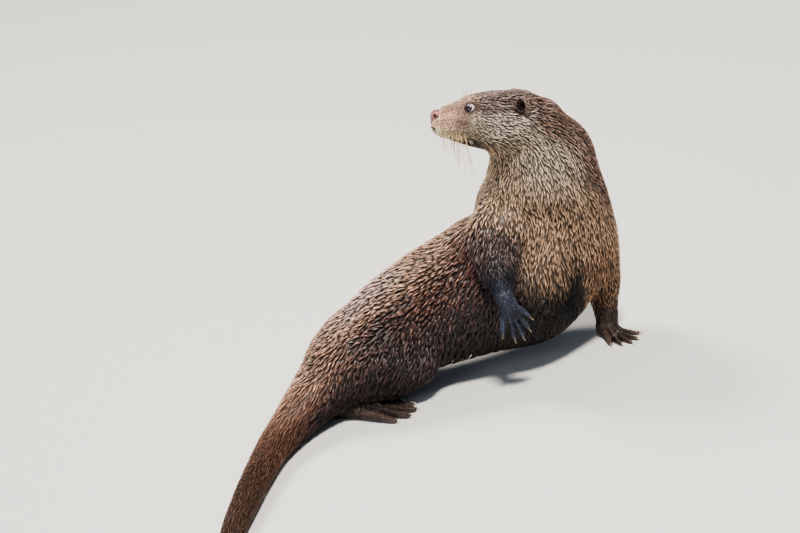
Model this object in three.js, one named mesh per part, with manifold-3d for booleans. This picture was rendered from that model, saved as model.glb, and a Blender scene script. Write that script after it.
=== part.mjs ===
// A life-size Eurasian otter with its forequarters raised, its right forepaw lifted and its head turned
// back over its right side. Millimetres, +Z up, the body running along +X and the floor at Z = 0.
// Every solid reaches out to the tips of the coat.
import * as THREE from "three";
import { mergeVertices } from "three/addons/utils/BufferGeometryUtils.js";
import Module from "manifold-3d";

const wasm = await Module();
wasm.setup();

// ---------------------------------------------------------------------------------------------------------
// Driving dimensions. A station is one cross-section: its centre, the half-width across the animal, the
// half-depth from back to belly, and the way the back faces there.
// ---------------------------------------------------------------------------------------------------------
const station = (x, y, z, wide, deep, back = [0, 0, 1]) => ({
  at: new THREE.Vector3(x, y, z),
  size: new THREE.Vector3(wide, deep, 0),
  back: new THREE.Vector3(...back).normalize(),
});

const GAP = 0.3; // between neighbouring solids
const FACING = 1.5; // a section faces the place this many stations ahead of it, seen from as many behind
const FLOOR = { size: 1500, deep: 60 };

// The body from the tip of the tail to the skull. The chest is twisted to face -Y, and the neck twists on
// until the nape faces +X.
const BODY = {
  tailTip: station(-243, -344, 5.5, 5.5, 5.2),
  tailEnd: station(-238, -290, 8.2, 9.6, 8.8),
  tailLow: station(-229, -232, 11.4, 12.8, 12),
  tailMid: station(-212, -170, 14, 15, 14.6),
  tailHigh: station(-193, -108, 15.6, 16.4, 16.2),
  tailBase: station(-173, -56, 18.4, 18.5, 18.4),
  tailRoot: station(-147, -14, 24, 23.5, 23.5),
  rump: station(-113, 22, 36, 35, 33, [-0.2, 0, 1]),
  hips: station(-73, 46, 54, 47, 44, [-0.3, 0.05, 1]),
  loin: station(-13, 64, 72, 57, 59, [-0.3, 0.1, 1]),
  waist: station(53, 74, 84, 63, 70, [-0.3, 0.3, 1]),
  ribs: station(121, 78, 91, 85, 78, [-0.4, 0.8, 0.8]),
  chest: station(159, 78, 126, 79.5, 66, [-0.35, 1, 0.1]),
  neckBase: station(169.5, 73, 180, 70.5, 58, [0.4, 1, 0]),
  neck: station(171, 66, 220, 56, 62, [0.85, 0.5, 0]),
  nape: station(163, 60, 250, 44, 46.5, [1, 0.2, 0.2]),
  skullBase: station(144, 57, 273, 34, 29, [0.9, 0.1, 0.9]),
};
// The lengths that the body is made in, from one station to another.
const TAIL_SIDES = 16;
const TRUNK_SIDES = 24;
const BODY_LENGTHS = {
  tail_tip: ["tailTip", "tailMid", TAIL_SIDES],
  tail_base: ["tailMid", "tailRoot", TAIL_SIDES],
  trunk_rear: ["tailRoot", "waist", TRUNK_SIDES],
  trunk_front: ["waist", "neckBase", TRUNK_SIDES],
  neck: ["neckBase", "skullBase", TRUNK_SIDES],
};
const RINGS_PER_STATION = 2;

// The head, in its own frame: X to the nose, Z to the crown.
const HEAD = {
  at: new THREE.Vector3(162, 57, 281),
  nose: new THREE.Vector3(-0.978, -0.051, 0.199),
  crown: new THREE.Vector3(0.22, 0.18, 0.956),
};
const SKULL = {
  occiput: station(-24, 0, -6, 31, 22),
  ears: station(-4, 0, -4.2, 37, 29.8),
  cheeks: station(15, 0, -4.7, 38, 30.8),
  jowls: station(34, 0, -2.6, 33.5, 28.9),
  eyes: station(52, 0, -2.5, 26.5, 25),
  bridge: station(66, 0, -3.5, 23, 21.5),
  whiskerPads: station(80, 0, -4.3, 20, 17.5),
  muzzleEnd: station(91, 0, -4.2, 14, 12.4),
};
const SKULL_CAPS = [20, 5];
const WHISKER_PAD = { forward: 81, side: 9.5, up: -8.5, long: 15, across: 12.5, tall: 11.5 };
const JAW = {
  hinge: station(20, 0, -25, 21, 12),
  middle: station(48, 0, -25, 17.5, 10),
  chin: station(70, 0, -20.5, 13, 7.5),
  lip: station(81, 0, -16.5, 9, 5.5),
};
const JAW_CAPS = [8, 4];
const EYE = { forward: 56, side: 17.2, up: 11.6, radius: 6 };
const NOSE = { forward: 91, up: 2, long: 6.5, across: 10, tall: 8 };
const NOSTRIL = { forward: 97, side: 5.8, up: 2.8, radius: 1.7, deep: 4 };
// Each ear is a cup, hollowed from the front, and leans outwards and back.
const EAR = { forward: 3, side: 31, up: 13, thick: 6, across: 10, tall: 10.5, rim: 1.8, lean: 0.6, turn: 0.45 };

// The forelegs, from inside the chest to the wrist.
const FORELEG = {
  right: [
    station(128, 56, 168, 26, 28, [-0.5, 0.6, 0.6]),
    station(113, 34, 165, 29, 30, [-0.6, 0.6, 0.4]),
    station(103, 15, 150, 23, 24, [-1, 0.3, 0.2]),
    station(100, 1, 130, 17, 18, [-1, 0.2, 0]),
    station(100, -7, 117, 12, 12, [-1, -0.3, 0]),
    station(101, -13, 103, 9.5, 8.5, [0, -1, 0]),
  ],
  left: [
    station(182, 86, 150, 30, 28, [0, 1, 0]),
    station(195, 86, 120, 28, 30, [0.4, 1, 0]),
    station(207, 88, 84, 27, 27, [0.4, 1, 0]),
    station(212, 90, 54, 21, 21, [0.3, 1, 0]),
    station(210, 85, 32, 14.5, 15, [0, 1, 0]),
    station(207, 77, 11, 11.5, 10, [0, 1, 0.4]),
  ],
};

// The folded hind legs, in the frame of the hips: X forwards, Y out to the leg's own side, Z up.
const HIPS = { x: -76, y: 48, yaw: 12 };
const THIGH = [
  station(-12, 12, 50, 24, 28),
  station(5, 27, 53, 27, 35),
  station(42, 41, 47, 23, 30),
  station(68, 48, 43, 16, 18),
];
const SHANK = [
  station(62, 47, 36, 14, 15),
  station(30, 40, 25, 14, 15),
  station(-2, 30, 15, 12, 12),
  station(-24, 23, 10, 10, 9.5),
];

// Paws, in their own frame: X along the middle toe, Z to the back of the paw, the sole at Z = 0. A toe has
// its angle from the middle one and its reach from the wrist, and the innermost comes first.
const FOREPAW = {
  palm: { heel: 4, knuckles: 23, across: 11, tall: 7 },
  toes: [
    { angle: 27, reach: 37 },
    { angle: 13, reach: 45 },
    { angle: 1, reach: 50 },
    { angle: -10, reach: 49 },
    { angle: -26, reach: 43 },
  ],
  toeRadius: 3.1,
  webReach: 29,
};
const HINDPAW = {
  palm: { heel: 6, knuckles: 44, across: 15, tall: 8.5 },
  toes: [
    { angle: 20, reach: 66 },
    { angle: 10, reach: 79 },
    { angle: 0, reach: 86 },
    { angle: -10, reach: 85 },
    { angle: -20, reach: 76 },
  ],
  toeRadius: 4.2,
  webReach: 64,
};
// Along a toe from the palm to the tip: where each station is, and its half-thickness and the lift of its
// arch as shares of the toe's radius.
const TOE = { places: [0, 0.45, 0.8, 1], thickness: [1.1, 1.1, 0.98, 0.85], arch: [0.5, 0.7, 0.2, 0] };
const CLAW = { long: 6.5, radius: 1.5, sunk: 2.5, rise: 1.2 };
const WEB = { thick: 2.4, scoop: 0.86 }; // the scoop is a share of the way out to the free edge
const SOLE_DIP = 0.8; // pads reach this far below the floor before they are trimmed flat on it

// Where each paw's wrist is, the way its toes point and the way its back faces.
const PAWS = {
  fore_right: { at: [101, -11, 108], toes: [0.2, -0.16, -0.97], back: [0, -1, 0.1] },
  fore_left: { at: [203, 79, 0], toes: [0.5, -0.87, 0], back: [0, 0, 1] },
};
const HIND_WRIST = { forward: -26, out: 22, splay: 34 }; // in the frame of the hips

// ---------------------------------------------------------------------------------------------------------
// Geometry
// ---------------------------------------------------------------------------------------------------------

// A closed skin lofted through stations, between two of them. A cap is the length of a rounded end, or 0
// for a flat one. Swell makes the whole thicker, and inset draws the flat ends back.
function loft(stations, options) {
  const { from = 0, to = stations.length - 1, rings, sides, caps = [0, 0], capRings = 2 } = options;
  const { swell = 0, inset = 0 } = options;
  const last = stations.length - 1;
  const line = new THREE.CatmullRomCurve3(stations.map((s) => s.at));
  const sizes = new THREE.CatmullRomCurve3(stations.map((s) => s.size), false, "catmullrom");
  const backs = new THREE.CatmullRomCurve3(stations.map((s) => s.back), false, "catmullrom");
  const sectionAt = (place) => {
    const t = place / last;
    const ahead = line.getPoint(Math.min(t + FACING / last, 1));
    const along = ahead.sub(line.getPoint(Math.max(t - FACING / last, 0))).normalize();
    const back = backs.getPoint(t);
    back.addScaledVector(along, -back.dot(along)).normalize();
    return { at: line.getPoint(t), along, back, side: along.clone().cross(back), size: sizes.getPoint(t) };
  };
  const points = [];
  const addRing = ({ at, along, back, side, size }, share, shift) => {
    for (let i = 0; i < sides; i++) {
      const turn = (2 * Math.PI * i) / sides;
      const point = at.clone().addScaledVector(along, shift);
      point.addScaledVector(side, Math.cos(turn) * (size.x + swell) * share);
      points.push(point.addScaledVector(back, Math.sin(turn) * (size.y + swell) * share));
    }
  };
  const reach = caps.map((cap) => (cap ? cap + swell : -inset));
  const capAngles = [...Array(capRings)].map((_, i) => ((i + 1) * Math.PI) / 2 / (capRings + 1));
  const first = sectionAt(from);
  const end = sectionAt(to);
  if (caps[0]) for (const a of capAngles.toReversed()) addRing(first, Math.cos(a), -reach[0] * Math.sin(a));
  for (let i = 0; i <= rings; i++) {
    const shift = i === 0 && !caps[0] ? inset : i === rings && !caps[1] ? -inset : 0;
    addRing(sectionAt(from + ((to - from) * i) / rings), 1, shift);
  }
  if (caps[1]) for (const a of capAngles) addRing(end, Math.cos(a), reach[1] * Math.sin(a));
  const topRing = points.length - sides;
  const startPole = points.push(first.at.clone().addScaledVector(first.along, -reach[0])) - 1;
  const endPole = points.push(end.at.clone().addScaledVector(end.along, reach[1])) - 1;
  const faces = [];
  for (let i = 0; i < sides; i++) {
    const j = (i + 1) % sides;
    faces.push(startPole, i, j, endPole, topRing + j, topRing + i);
    for (let r = 0; r < topRing; r += sides) {
      faces.push(r + i, r + sides + i, r + j, r + j, r + sides + i, r + sides + j);
    }
  }
  return new THREE.BufferGeometry().setFromPoints(points).setIndex(faces);
}

// A geometry whose corners are shared, as a solid for cutting and joining, and back again.
function solidOf(geometry) {
  const vertProperties = new Float32Array(geometry.getAttribute("position").array);
  const triVerts = new Uint32Array(geometry.index.array);
  return new wasm.Manifold(new wasm.Mesh({ numProp: 3, vertProperties, triVerts }));
}

function geometryOf(solid) {
  const { vertProperties, triVerts } = solid.getMesh();
  return new THREE.BufferGeometry()
    .setAttribute("position", new THREE.BufferAttribute(vertProperties, 3))
    .setIndex(new THREE.BufferAttribute(triVerts, 1));
}

// A three.js primitive, with the corners of its faces merged.
function shared(geometry) {
  geometry.deleteAttribute("normal");
  geometry.deleteAttribute("uv");
  return mergeVertices(geometry, 1e-3);
}

function ellipsoid(radii, at, sides, rings) {
  return shared(new THREE.SphereGeometry(1, sides, rings)).scale(...radii).translate(...at);
}

const joined = (solids) => solids.reduce((all, one) => all.add(one));

const floor = solidOf(
  shared(new THREE.BoxGeometry(FLOOR.size, FLOOR.size, FLOOR.deep)).translate(0, 0, -FLOOR.deep / 2),
);

// ---------------------------------------------------------------------------------------------------------
// Body and head
// ---------------------------------------------------------------------------------------------------------

// A length of the body, flat where it meets the next one and rounded at the tip of the tail and the skull.
const bodyNames = Object.keys(BODY);
const bodyStations = Object.values(BODY);

function bodyLength(fromName, toName, sides, swell = 0) {
  const from = bodyNames.indexOf(fromName);
  const to = bodyNames.indexOf(toName);
  const caps = [from === 0 ? 4 : 0, to === bodyNames.length - 1 ? 16 : 0];
  const rings = (to - from) * RINGS_PER_STATION;
  return solidOf(loft(bodyStations, { from, to, rings, sides, caps, swell, inset: GAP / 2 }));
}

// The frame at a place, with X ahead, Z to the back and Y to the left.
function frameOf(ahead, back, at) {
  const left = back.clone().cross(ahead).normalize();
  const level = ahead.clone().normalize();
  return new THREE.Matrix4().makeBasis(level, left, level.clone().cross(left)).setPosition(at);
}

const headFrame = frameOf(HEAD.nose, HEAD.crown, HEAD.at);
const inHead = (geometry) => solidOf(geometry.applyMatrix4(headFrame));

const jaw = (swell) => inHead(loft(Object.values(JAW), { rings: 5, sides: 14, caps: JAW_CAPS, swell }));

function skull(swell) {
  const { forward, side, up, long, across, tall } = WHISKER_PAD;
  const radii = [long + swell, across + swell, tall + swell];
  const pads = [-side, side].map((out) => inHead(ellipsoid(radii, [forward, out, up], 12, 7)));
  const bone = inHead(loft(Object.values(SKULL), { rings: 11, sides: 18, caps: SKULL_CAPS, swell }));
  return joined([bone, ...pads]);
}

function eyeball(side, swell) {
  const radius = EYE.radius + swell;
  return inHead(ellipsoid([radius, radius, radius], [EYE.forward, side * EYE.side, EYE.up], 12, 8));
}

function nosePad(swell) {
  const radii = [NOSE.long + swell, NOSE.across + swell, NOSE.tall + swell];
  return inHead(ellipsoid(radii, [NOSE.forward, 0, NOSE.up], 12, 7));
}

function nostril(side) {
  const { forward, up, radius, deep } = NOSTRIL;
  return inHead(ellipsoid([deep, radius, radius * 1.3], [forward, side * NOSTRIL.side, up], 6, 5));
}

// A cup hollowed from the front, or just its outside when it is swollen to cut room for it.
function ear(side, swell) {
  const { thick, across, tall, rim } = EAR;
  const place = new THREE.Matrix4()
    .makeRotationFromEuler(new THREE.Euler(-side * EAR.lean, 0, side * EAR.turn, "ZYX"))
    .setPosition(EAR.forward, side * EAR.side, EAR.up);
  const inPlace = (geometry) => inHead(geometry.applyMatrix4(place));
  const cup = inPlace(ellipsoid([thick + swell, across + swell, tall + swell], [0, 0, 0], 12, 7));
  if (swell) return cup;
  return cup.subtract(inPlace(ellipsoid([thick, across - rim, tall - rim], [thick * 0.8, 0, 0], 10, 6)));
}

// ---------------------------------------------------------------------------------------------------------
// Legs and paws
// ---------------------------------------------------------------------------------------------------------
function foreleg(name, swell) {
  return solidOf(loft(FORELEG[name], { rings: 6, sides: 14, caps: [20, 7], capRings: 1, swell }));
}

// A place in the frame of the hips, on the side of +1 for left or -1 for right.
function fromHips(along, out, up, side) {
  const turn = THREE.MathUtils.degToRad(HIPS.yaw);
  const place = new THREE.Vector3(along, side * out, up);
  return place.applyAxisAngle(new THREE.Vector3(0, 0, 1), turn).add(new THREE.Vector3(HIPS.x, HIPS.y, 0));
}

function hindleg(side, swell) {
  const placed = (list) => list.map((s) => ({ ...s, at: fromHips(s.at.x, s.at.y, s.at.z, side) }));
  const thigh = solidOf(loft(placed(THIGH), { rings: 4, sides: 14, caps: [20, 14], swell }));
  return thigh.add(solidOf(loft(placed(SHANK), { rings: 3, sides: 12, caps: [12, 8], capRings: 1, swell })));
}

// A point of a toe in the paw's frame, at a distance from the wrist.
function toePoint(angle, distance, height) {
  const turn = THREE.MathUtils.degToRad(angle);
  return new THREE.Vector3(distance * Math.cos(turn), distance * Math.sin(turn), height);
}

function toe({ angle, reach }, root, radius) {
  const tip = reach - radius;
  const stations = TOE.places.map((place, i) => {
    const size = radius * TOE.thickness[i];
    const height = size + radius * TOE.arch[i] - SOLE_DIP;
    const { x, y, z } = toePoint(angle, THREE.MathUtils.lerp(root, tip, place), height);
    return station(x, y, z, size, size);
  });
  return solidOf(loft(stations, { rings: 2, sides: 6, caps: [0, radius * 0.8], capRings: 0 }));
}

function claw({ angle, reach }, radius) {
  const stations = [0, 0.5, 1].map((share) => {
    const size = CLAW.radius * (1 - 0.75 * share);
    const height = radius + CLAW.rise - CLAW.radius * 2 * share * share;
    const { x, y, z } = toePoint(angle, reach - CLAW.sunk + CLAW.long * share, height);
    return station(x, y, z, size, size * 1.2);
  });
  return solidOf(loft(stations, { rings: 2, sides: 4 }));
}

// The skin between the toes, in one sheet that is scooped out from each toe to the next.
function webs(specs, root, { toeRadius, webReach }) {
  const edge = ({ angle, reach }) => toePoint(angle, Math.min(webReach, reach - toeRadius), 0);
  const outline = new THREE.Shape();
  const start = toePoint(specs[0].angle, root, 0);
  const end = toePoint(specs.at(-1).angle, root, 0);
  outline.moveTo(start.x, start.y);
  outline.lineTo(edge(specs[0]).x, edge(specs[0]).y);
  for (let i = 1; i < specs.length; i++) {
    const hollow = edge(specs[i - 1]).add(edge(specs[i])).multiplyScalar(WEB.scoop / 2);
    outline.quadraticCurveTo(hollow.x, hollow.y, edge(specs[i]).x, edge(specs[i]).y);
  }
  outline.lineTo(end.x, end.y);
  const options = { depth: WEB.thick, bevelEnabled: false, curveSegments: 3 };
  const sheet = shared(new THREE.ExtrudeGeometry(outline, options));
  return solidOf(sheet.translate(0, 0, toeRadius * 0.9));
}

// A whole paw, with side +1 where the innermost toe lies to the left of the middle one.
function paw(shape, side, frame) {
  const { heel, knuckles, across, tall } = shape.palm;
  const specs = shape.toes.map(({ angle, reach }) => ({ angle: angle * side, reach }));
  const root = knuckles * 0.6;
  const palm = [
    station(-heel, 0, tall * 1.1 - SOLE_DIP, across * 0.7, tall * 1.1),
    station(knuckles * 0.5, 0, tall * 1.05 - SOLE_DIP, across * 0.9, tall * 1.05),
    station(knuckles, 0, tall * 0.8 - SOLE_DIP, across, tall * 0.8),
  ];
  const pieces = [solidOf(loft(palm, { rings: 2, sides: 8, caps: [tall * 0.8, 5], capRings: 1 }))];
  for (const spec of specs) pieces.push(toe(spec, root, shape.toeRadius), claw(spec, shape.toeRadius));
  pieces.push(webs(specs, root, shape));
  return solidOf(geometryOf(joined(pieces)).applyMatrix4(frame));
}

function forepaw(name, side) {
  const { at, toes, back } = PAWS[name];
  const [wrist, ahead, top] = [at, toes, back].map((v) => new THREE.Vector3(...v));
  return paw(FOREPAW, side, frameOf(ahead, top, wrist));
}

function hindpaw(side) {
  const turn = THREE.MathUtils.degToRad(HIPS.yaw + side * HIND_WRIST.splay);
  const ahead = new THREE.Vector3(Math.cos(turn), Math.sin(turn), 0);
  const at = fromHips(HIND_WRIST.forward, HIND_WRIST.out, 0, side);
  return paw(HINDPAW, -side, frameOf(ahead, new THREE.Vector3(0, 0, 1), at));
}

// ---------------------------------------------------------------------------------------------------------
// The whole otter
// ---------------------------------------------------------------------------------------------------------
const COAT = { color: "#6b5a4c", roughness: 0.75 };
const PALE_COAT = { color: "#a08b74", roughness: 0.75 };
const TAIL_COAT = { color: "#5a4638", roughness: 0.75 };
const PAW_SKIN = { color: "#4a4648", roughness: 0.6 };
const NOSE_SKIN = { color: "#6f5d57", roughness: 0.45 };
const EYE_GLOSS = { color: "#1a1512", roughness: 0.08 };

const otter = new THREE.Group();

function add(name, solid, look) {
  const mesh = new THREE.Mesh(geometryOf(solid.subtract(floor)), new THREE.MeshStandardMaterial(look));
  mesh.name = name;
  otter.add(mesh);
}

const SIDES = { left: 1, right: -1 };
const wholeBody = bodyLength("tailTip", "skullBase", TRUNK_SIDES, GAP);

const eyes = joined(Object.values(SIDES).map((side) => eyeball(side, GAP)));
const ears = joined(Object.values(SIDES).map((side) => ear(side, GAP)));

for (const [name, [from, to, sides]] of Object.entries(BODY_LENGTHS)) {
  const length = bodyLength(from, to, sides);
  const solid = name === "neck" ? length.subtract(joined([skull(GAP), jaw(GAP), ears])) : length;
  add(name, solid, name.startsWith("tail") ? TAIL_COAT : COAT);
}

add("head", skull(0).subtract(eyes).subtract(nosePad(GAP)), PALE_COAT);
add("jaw", jaw(0).subtract(skull(GAP)), PALE_COAT);
add("nose", nosePad(0).subtract(joined(Object.values(SIDES).map(nostril))), NOSE_SKIN);

for (const [name, side] of Object.entries(SIDES)) {
  add(`eye_${name}`, eyeball(side, 0), EYE_GLOSS);
  add(`ear_${name}`, ear(side, 0).subtract(skull(GAP)), COAT);
  add(`foreleg_${name}`, foreleg(name, 0).subtract(wholeBody), COAT);
  add(`forepaw_${name}`, forepaw(`fore_${name}`, -side).subtract(foreleg(name, GAP)), PAW_SKIN);
  add(`hindleg_${name}`, hindleg(side, 0).subtract(wholeBody), COAT);
  add(`hindpaw_${name}`, hindpaw(side).subtract(hindleg(side, GAP)).subtract(wholeBody), PAW_SKIN);
}

// The part's origin is under the middle of its bounding box, on the floor.
const box = new THREE.Box3().setFromObject(otter);
otter.position.set(-(box.min.x + box.max.x) / 2, -(box.min.y + box.max.y) / 2, 0);

export default otter;
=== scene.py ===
import math

import bpy
import numpy as np
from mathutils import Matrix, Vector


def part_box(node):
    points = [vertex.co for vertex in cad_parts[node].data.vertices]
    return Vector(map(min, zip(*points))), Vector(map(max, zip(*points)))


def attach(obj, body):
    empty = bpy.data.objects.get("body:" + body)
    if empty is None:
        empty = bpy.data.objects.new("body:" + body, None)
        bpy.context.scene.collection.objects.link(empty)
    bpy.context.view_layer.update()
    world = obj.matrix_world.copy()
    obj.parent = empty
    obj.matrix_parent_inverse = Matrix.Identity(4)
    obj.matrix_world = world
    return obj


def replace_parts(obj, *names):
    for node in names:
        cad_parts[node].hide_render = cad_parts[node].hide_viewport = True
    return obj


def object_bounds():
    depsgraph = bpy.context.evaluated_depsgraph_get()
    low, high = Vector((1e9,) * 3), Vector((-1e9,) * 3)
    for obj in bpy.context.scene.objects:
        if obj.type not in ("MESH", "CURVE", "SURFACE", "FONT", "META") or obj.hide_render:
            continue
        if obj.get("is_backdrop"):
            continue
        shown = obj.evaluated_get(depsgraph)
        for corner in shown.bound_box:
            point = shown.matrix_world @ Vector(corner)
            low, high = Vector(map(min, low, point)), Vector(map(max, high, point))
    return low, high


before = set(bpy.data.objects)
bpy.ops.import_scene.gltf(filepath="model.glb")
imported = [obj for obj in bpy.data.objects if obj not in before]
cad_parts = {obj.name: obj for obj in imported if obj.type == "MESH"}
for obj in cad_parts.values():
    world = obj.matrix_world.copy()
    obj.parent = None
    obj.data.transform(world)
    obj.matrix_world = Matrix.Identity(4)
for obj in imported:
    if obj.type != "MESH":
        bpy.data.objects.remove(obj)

import openvdb
from mathutils import Matrix, Vector
from mathutils.kdtree import KDTree

# A wet Eurasian otter: one skin under a coat of pointed tufts, with separate eyes, nose, claws and whiskers.
# Shapes are worked out in millimetres in a design frame, whose floor is at Z = 0. They are then moved to the
# row frame by the offset between the two places of the left eye.
CAD_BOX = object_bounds()
RNG = np.random.default_rng(7)
MM = 0.001
UP = (0, 0, 1)
SIDES = {"left": 1, "right": -1}

# ---- Driving dimensions ----
# A station is a cross-section: its centre, half-width, half-depth, depth of coat and way to the back.
BODY = [
    (-243, -344, 5.5, 5.5, 5.2, 1.5, UP),  # tip of the tail
    (-238, -290, 8.2, 9.6, 8.8, 2.0, UP),
    (-229, -232, 11.4, 12.8, 12, 2.4, UP),
    (-212, -170, 14, 15, 14.6, 2.6, UP),
    (-193, -108, 15.6, 16.4, 16.2, 2.8, UP),
    (-173, -56, 18.4, 18.5, 18.4, 3.0, UP),
    (-147, -14, 24, 23.5, 23.5, 3.2, UP),  # root of the tail
    (-113, 22, 36, 35, 33, 3.6, (-0.2, 0, 1)),
    (-73, 46, 54, 47, 44, 4.0, (-0.3, 0.05, 1)),  # hips
    (-13, 64, 72, 57, 59, 4.2, (-0.3, 0.1, 1)),
    (53, 74, 84, 63, 70, 4.2, (-0.3, 0.3, 1)),  # waist
    (121, 78, 91, 85, 78, 4.2, (-0.4, 0.8, 0.8)),
    (159, 78, 126, 79.5, 66, 3.5, (-0.35, 1, 0.1)),  # chest
    (169.5, 73, 180, 70.5, 58, 3.2, (0.4, 1, 0)),
    (171, 66, 220, 56, 62, 2.9, (0.85, 0.5, 0)),  # neck
    (163, 60, 250, 44, 46.5, 2.8, (1, 0.2, 0.2)),
    (144, 57, 273, 34, 29, 2.7, (0.9, 0.1, 0.9)),  # base of the skull
]
TAIL_ROOT, WAIST, CHEST, NECK_BASE, SKULL_BASE = 6, 10, 12, 13, 16  # places along the body
FORELEG = {
    "right": [
        (128, 56, 168, 26, 28, 4.0, (-0.5, 0.6, 0.6)),
        (113, 34, 165, 29, 30, 4.0, (-0.6, 0.6, 0.4)),
        (103, 15, 150, 23, 24, 3.4, (-1, 0.3, 0.2)),
        (100, 1, 130, 17, 18, 2.6, (-1, 0.2, 0)),
        (100, -7, 117, 12, 12, 1.6, (-1, -0.3, 0)),
        (101, -13, 103, 9.5, 8.5, 0.9, (0, -1, 0)),
    ],
    "left": [
        (182, 86, 150, 30, 28, 4.0, (0, 1, 0)),
        (195, 86, 120, 28, 30, 4.0, (0.4, 1, 0)),
        (207, 88, 84, 27, 27, 3.4, (0.4, 1, 0)),
        (212, 90, 54, 21, 21, 2.8, (0.3, 1, 0)),
        (210, 85, 32, 14.5, 15, 2.0, (0, 1, 0)),
        (207, 77, 11, 11.5, 10, 1.0, (0, 1, 0.4)),
    ],
}
HIPS = {"at": (-76, 48, 0), "yaw": 12}  # frame of the hind legs: X forwards, Y out to the leg's side
THIGH = [
    (-12, 12, 50, 24, 28, 4.0, UP),
    (5, 27, 53, 27, 35, 4.0, UP),
    (42, 41, 47, 23, 30, 4.0, UP),
    (68, 48, 43, 16, 18, 3.8, UP),
]
SHANK = [
    (62, 47, 36, 14, 15, 3.4, UP),
    (30, 40, 25, 14, 15, 3.0, UP),
    (-2, 30, 15, 12, 12, 2.0, UP),
    (-24, 23, 10, 10, 9.5, 1.2, UP),
]
# Everything of the head is in its own frame: X to the nose, Y to the left, Z to the crown.
HEAD = {"at": (162, 57, 281), "nose": (-0.978, -0.051, 0.199), "crown": (0.22, 0.18, 0.956)}
SKULL = [
    (-24, 0, -6, 31, 22, 3.0, UP),
    (-4, 0, -4.2, 37, 29.8, 2.6, UP),
    (15, 0, -4.7, 38, 30.8, 2.4, UP),
    (34, 0, -2.6, 33.5, 28.9, 2.0, UP),
    (52, 0, -2.5, 26.5, 25, 1.4, UP),
    (66, 0, -3.5, 23, 21.5, 1.0, UP),
    (80, 0, -4.3, 20, 17.5, 0.8, UP),
    (91, 0, -4.2, 14, 12.4, 0.7, UP),
]
JAW = [
    (20, 0, -25, 21, 12, 2.4, UP),
    (48, 0, -24.5, 17, 9.5, 1.6, UP),
    (70, 0, -19.5, 12, 6.5, 1.0, UP),
    (81, 0, -15.5, 8, 5, 0.8, UP),
]
WHISKER_PAD = {"at": (81, 9.5, -8.5), "radii": (14.3, 11.8, 10.8)}
CHEEK = {"at": (24, 22, -12), "radii": (22, 11.5, 15)}
BROW = {"at": (45, 13, 15.5), "radii": (13, 6, 4)}
EYE = {"at": (56, 17.2, 11.6), "radius": 5.8, "looks": (0.42, 0.86, 0.28), "lid": 1.2}
EYE_OPENING = {"half": 5.5, "above": 4.5, "below": 4.2, "tilt": 14}
LIP_LINE = [(58, -26.5), (64, -25), (74, -20.7), (85, -14.3), (93, -9.5), (99, -7)]  # X and Z
LIP_GROOVE = {"wide": 1.1, "deep": 3.6}
MOUTH_CORNER = (60, -26)  # X and Z
NOSE = {"at": (90, 0, 2), "radii": (7.4, 9.2, 7.6)}
NOSTRIL_RIM = {"at": (91, 6.2, 4), "radii": (4.6, 3.6, 4)}
NOSTRIL_PIT = {"at": (93.4, 9.2, 3.8), "radii": (3.6, 2.6, 2.4)}
NOSTRIL_WING = {"at": (90.8, 8.6, 4.8), "radii": (1.6, 1.5, 1.4)}
EAR = {"at": (3, 31, 12.6), "radii": (5.6, 9.6, 9.6), "lean": 0.6, "turn": 0.45, "coat": 1.3}
EAR_HOLLOW = {"at": (4.6, 0, 0), "radii": (7.2, 8.3, 8.8)}
EAR_SHADE = {"at": (12, 33, 11), "radii": (9, 9, 8)}  # dark fur and painted shade before the ear
# Paws are in their own frame too: X along the middle toe, Z to the back of the paw, the sole at Z = 0.
FOREPAW = {
    "palm": {"heel": 4, "knuckles": 23, "across": 11, "tall": 7},
    "toes": [(27, 37), (13, 45), (1, 50), (-10, 49), (-26, 43)],  # angle and reach, innermost first
    "radius": 2.6,
    "web": 26,
}
HINDPAW = {
    "palm": {"heel": 6, "knuckles": 44, "across": 15, "tall": 8.5},
    "toes": [(20, 66), (10, 79), (0, 86), (-10, 85), (-20, 76)],
    "radius": 3.8,
    "web": 62,
}
TOE = [(0, 1.1, 0.5), (0.45, 1.1, 0.7), (0.8, 0.98, 0.2), (1, 0.85, 0)]  # place, thickness, lift of the arch
PAW_COAT = 0.35  # depth of the short fur on a paw
CLAW = {"long": 6.5, "radius": 1.4, "sunk": 2.5, "rise": 1.2}
WEB = {"half": 0.8, "scoop": 0.2, "rise": 0.85}
SOLE_DIP = 0.8  # a paw reaches this far below its sole, and is cut flat there
PAWS = {
    "fore_right": {"at": (101, -11, 108), "toes": (0.2, -0.16, -0.97), "back": (0, -1, 0.1)},
    "fore_left": {"at": (203, 79, 0), "toes": (0.5, -0.87, 0), "back": UP},
}
HIND_WRIST = {"at": (-26, 22, 0), "splay": 34}
SOLE = 0.2  # the skin is flat this far above the floor

# How forms run into one another, in millimetres.
BLEND = {"thigh": 26, "shank": 14, "forepaw": 4, "hindpaw": 4, "head": 16}
FORELEG_BLEND = [(1.4, 3.6), (34, 12)]  # places along the foreleg, and the blend there
WITHERS = {"at": (88, 70, 135), "radii": (34, 36, 33), "blend": 14}
REACH = 40  # how far outside its box a form still counts
FACE_BLEND = {"jaw": 4, "pad": 5, "cheek": 12, "brow": 8, "lid": 3.5, "ear": 3}
TOE_BLEND = 1.4


# ---- Small mathematics ----
def unit(vectors):
    vectors = np.asarray(vectors, float)
    return vectors / np.maximum(np.linalg.norm(vectors, axis=-1, keepdims=True), 1e-9)


def dot(a, b):
    return np.einsum("...i,...i->...", a, b)


def ramp(value, low, high):
    """Rises smoothly from 0 at low to 1 at high, which may be the smaller of the two."""
    share = np.clip((value - low) / (high - low), 0, 1)
    return share * share * (3 - 2 * share)


def mix(a, b, share):
    share = np.asarray(share)[..., None]
    return a * (1 - share) + b * share


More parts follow.
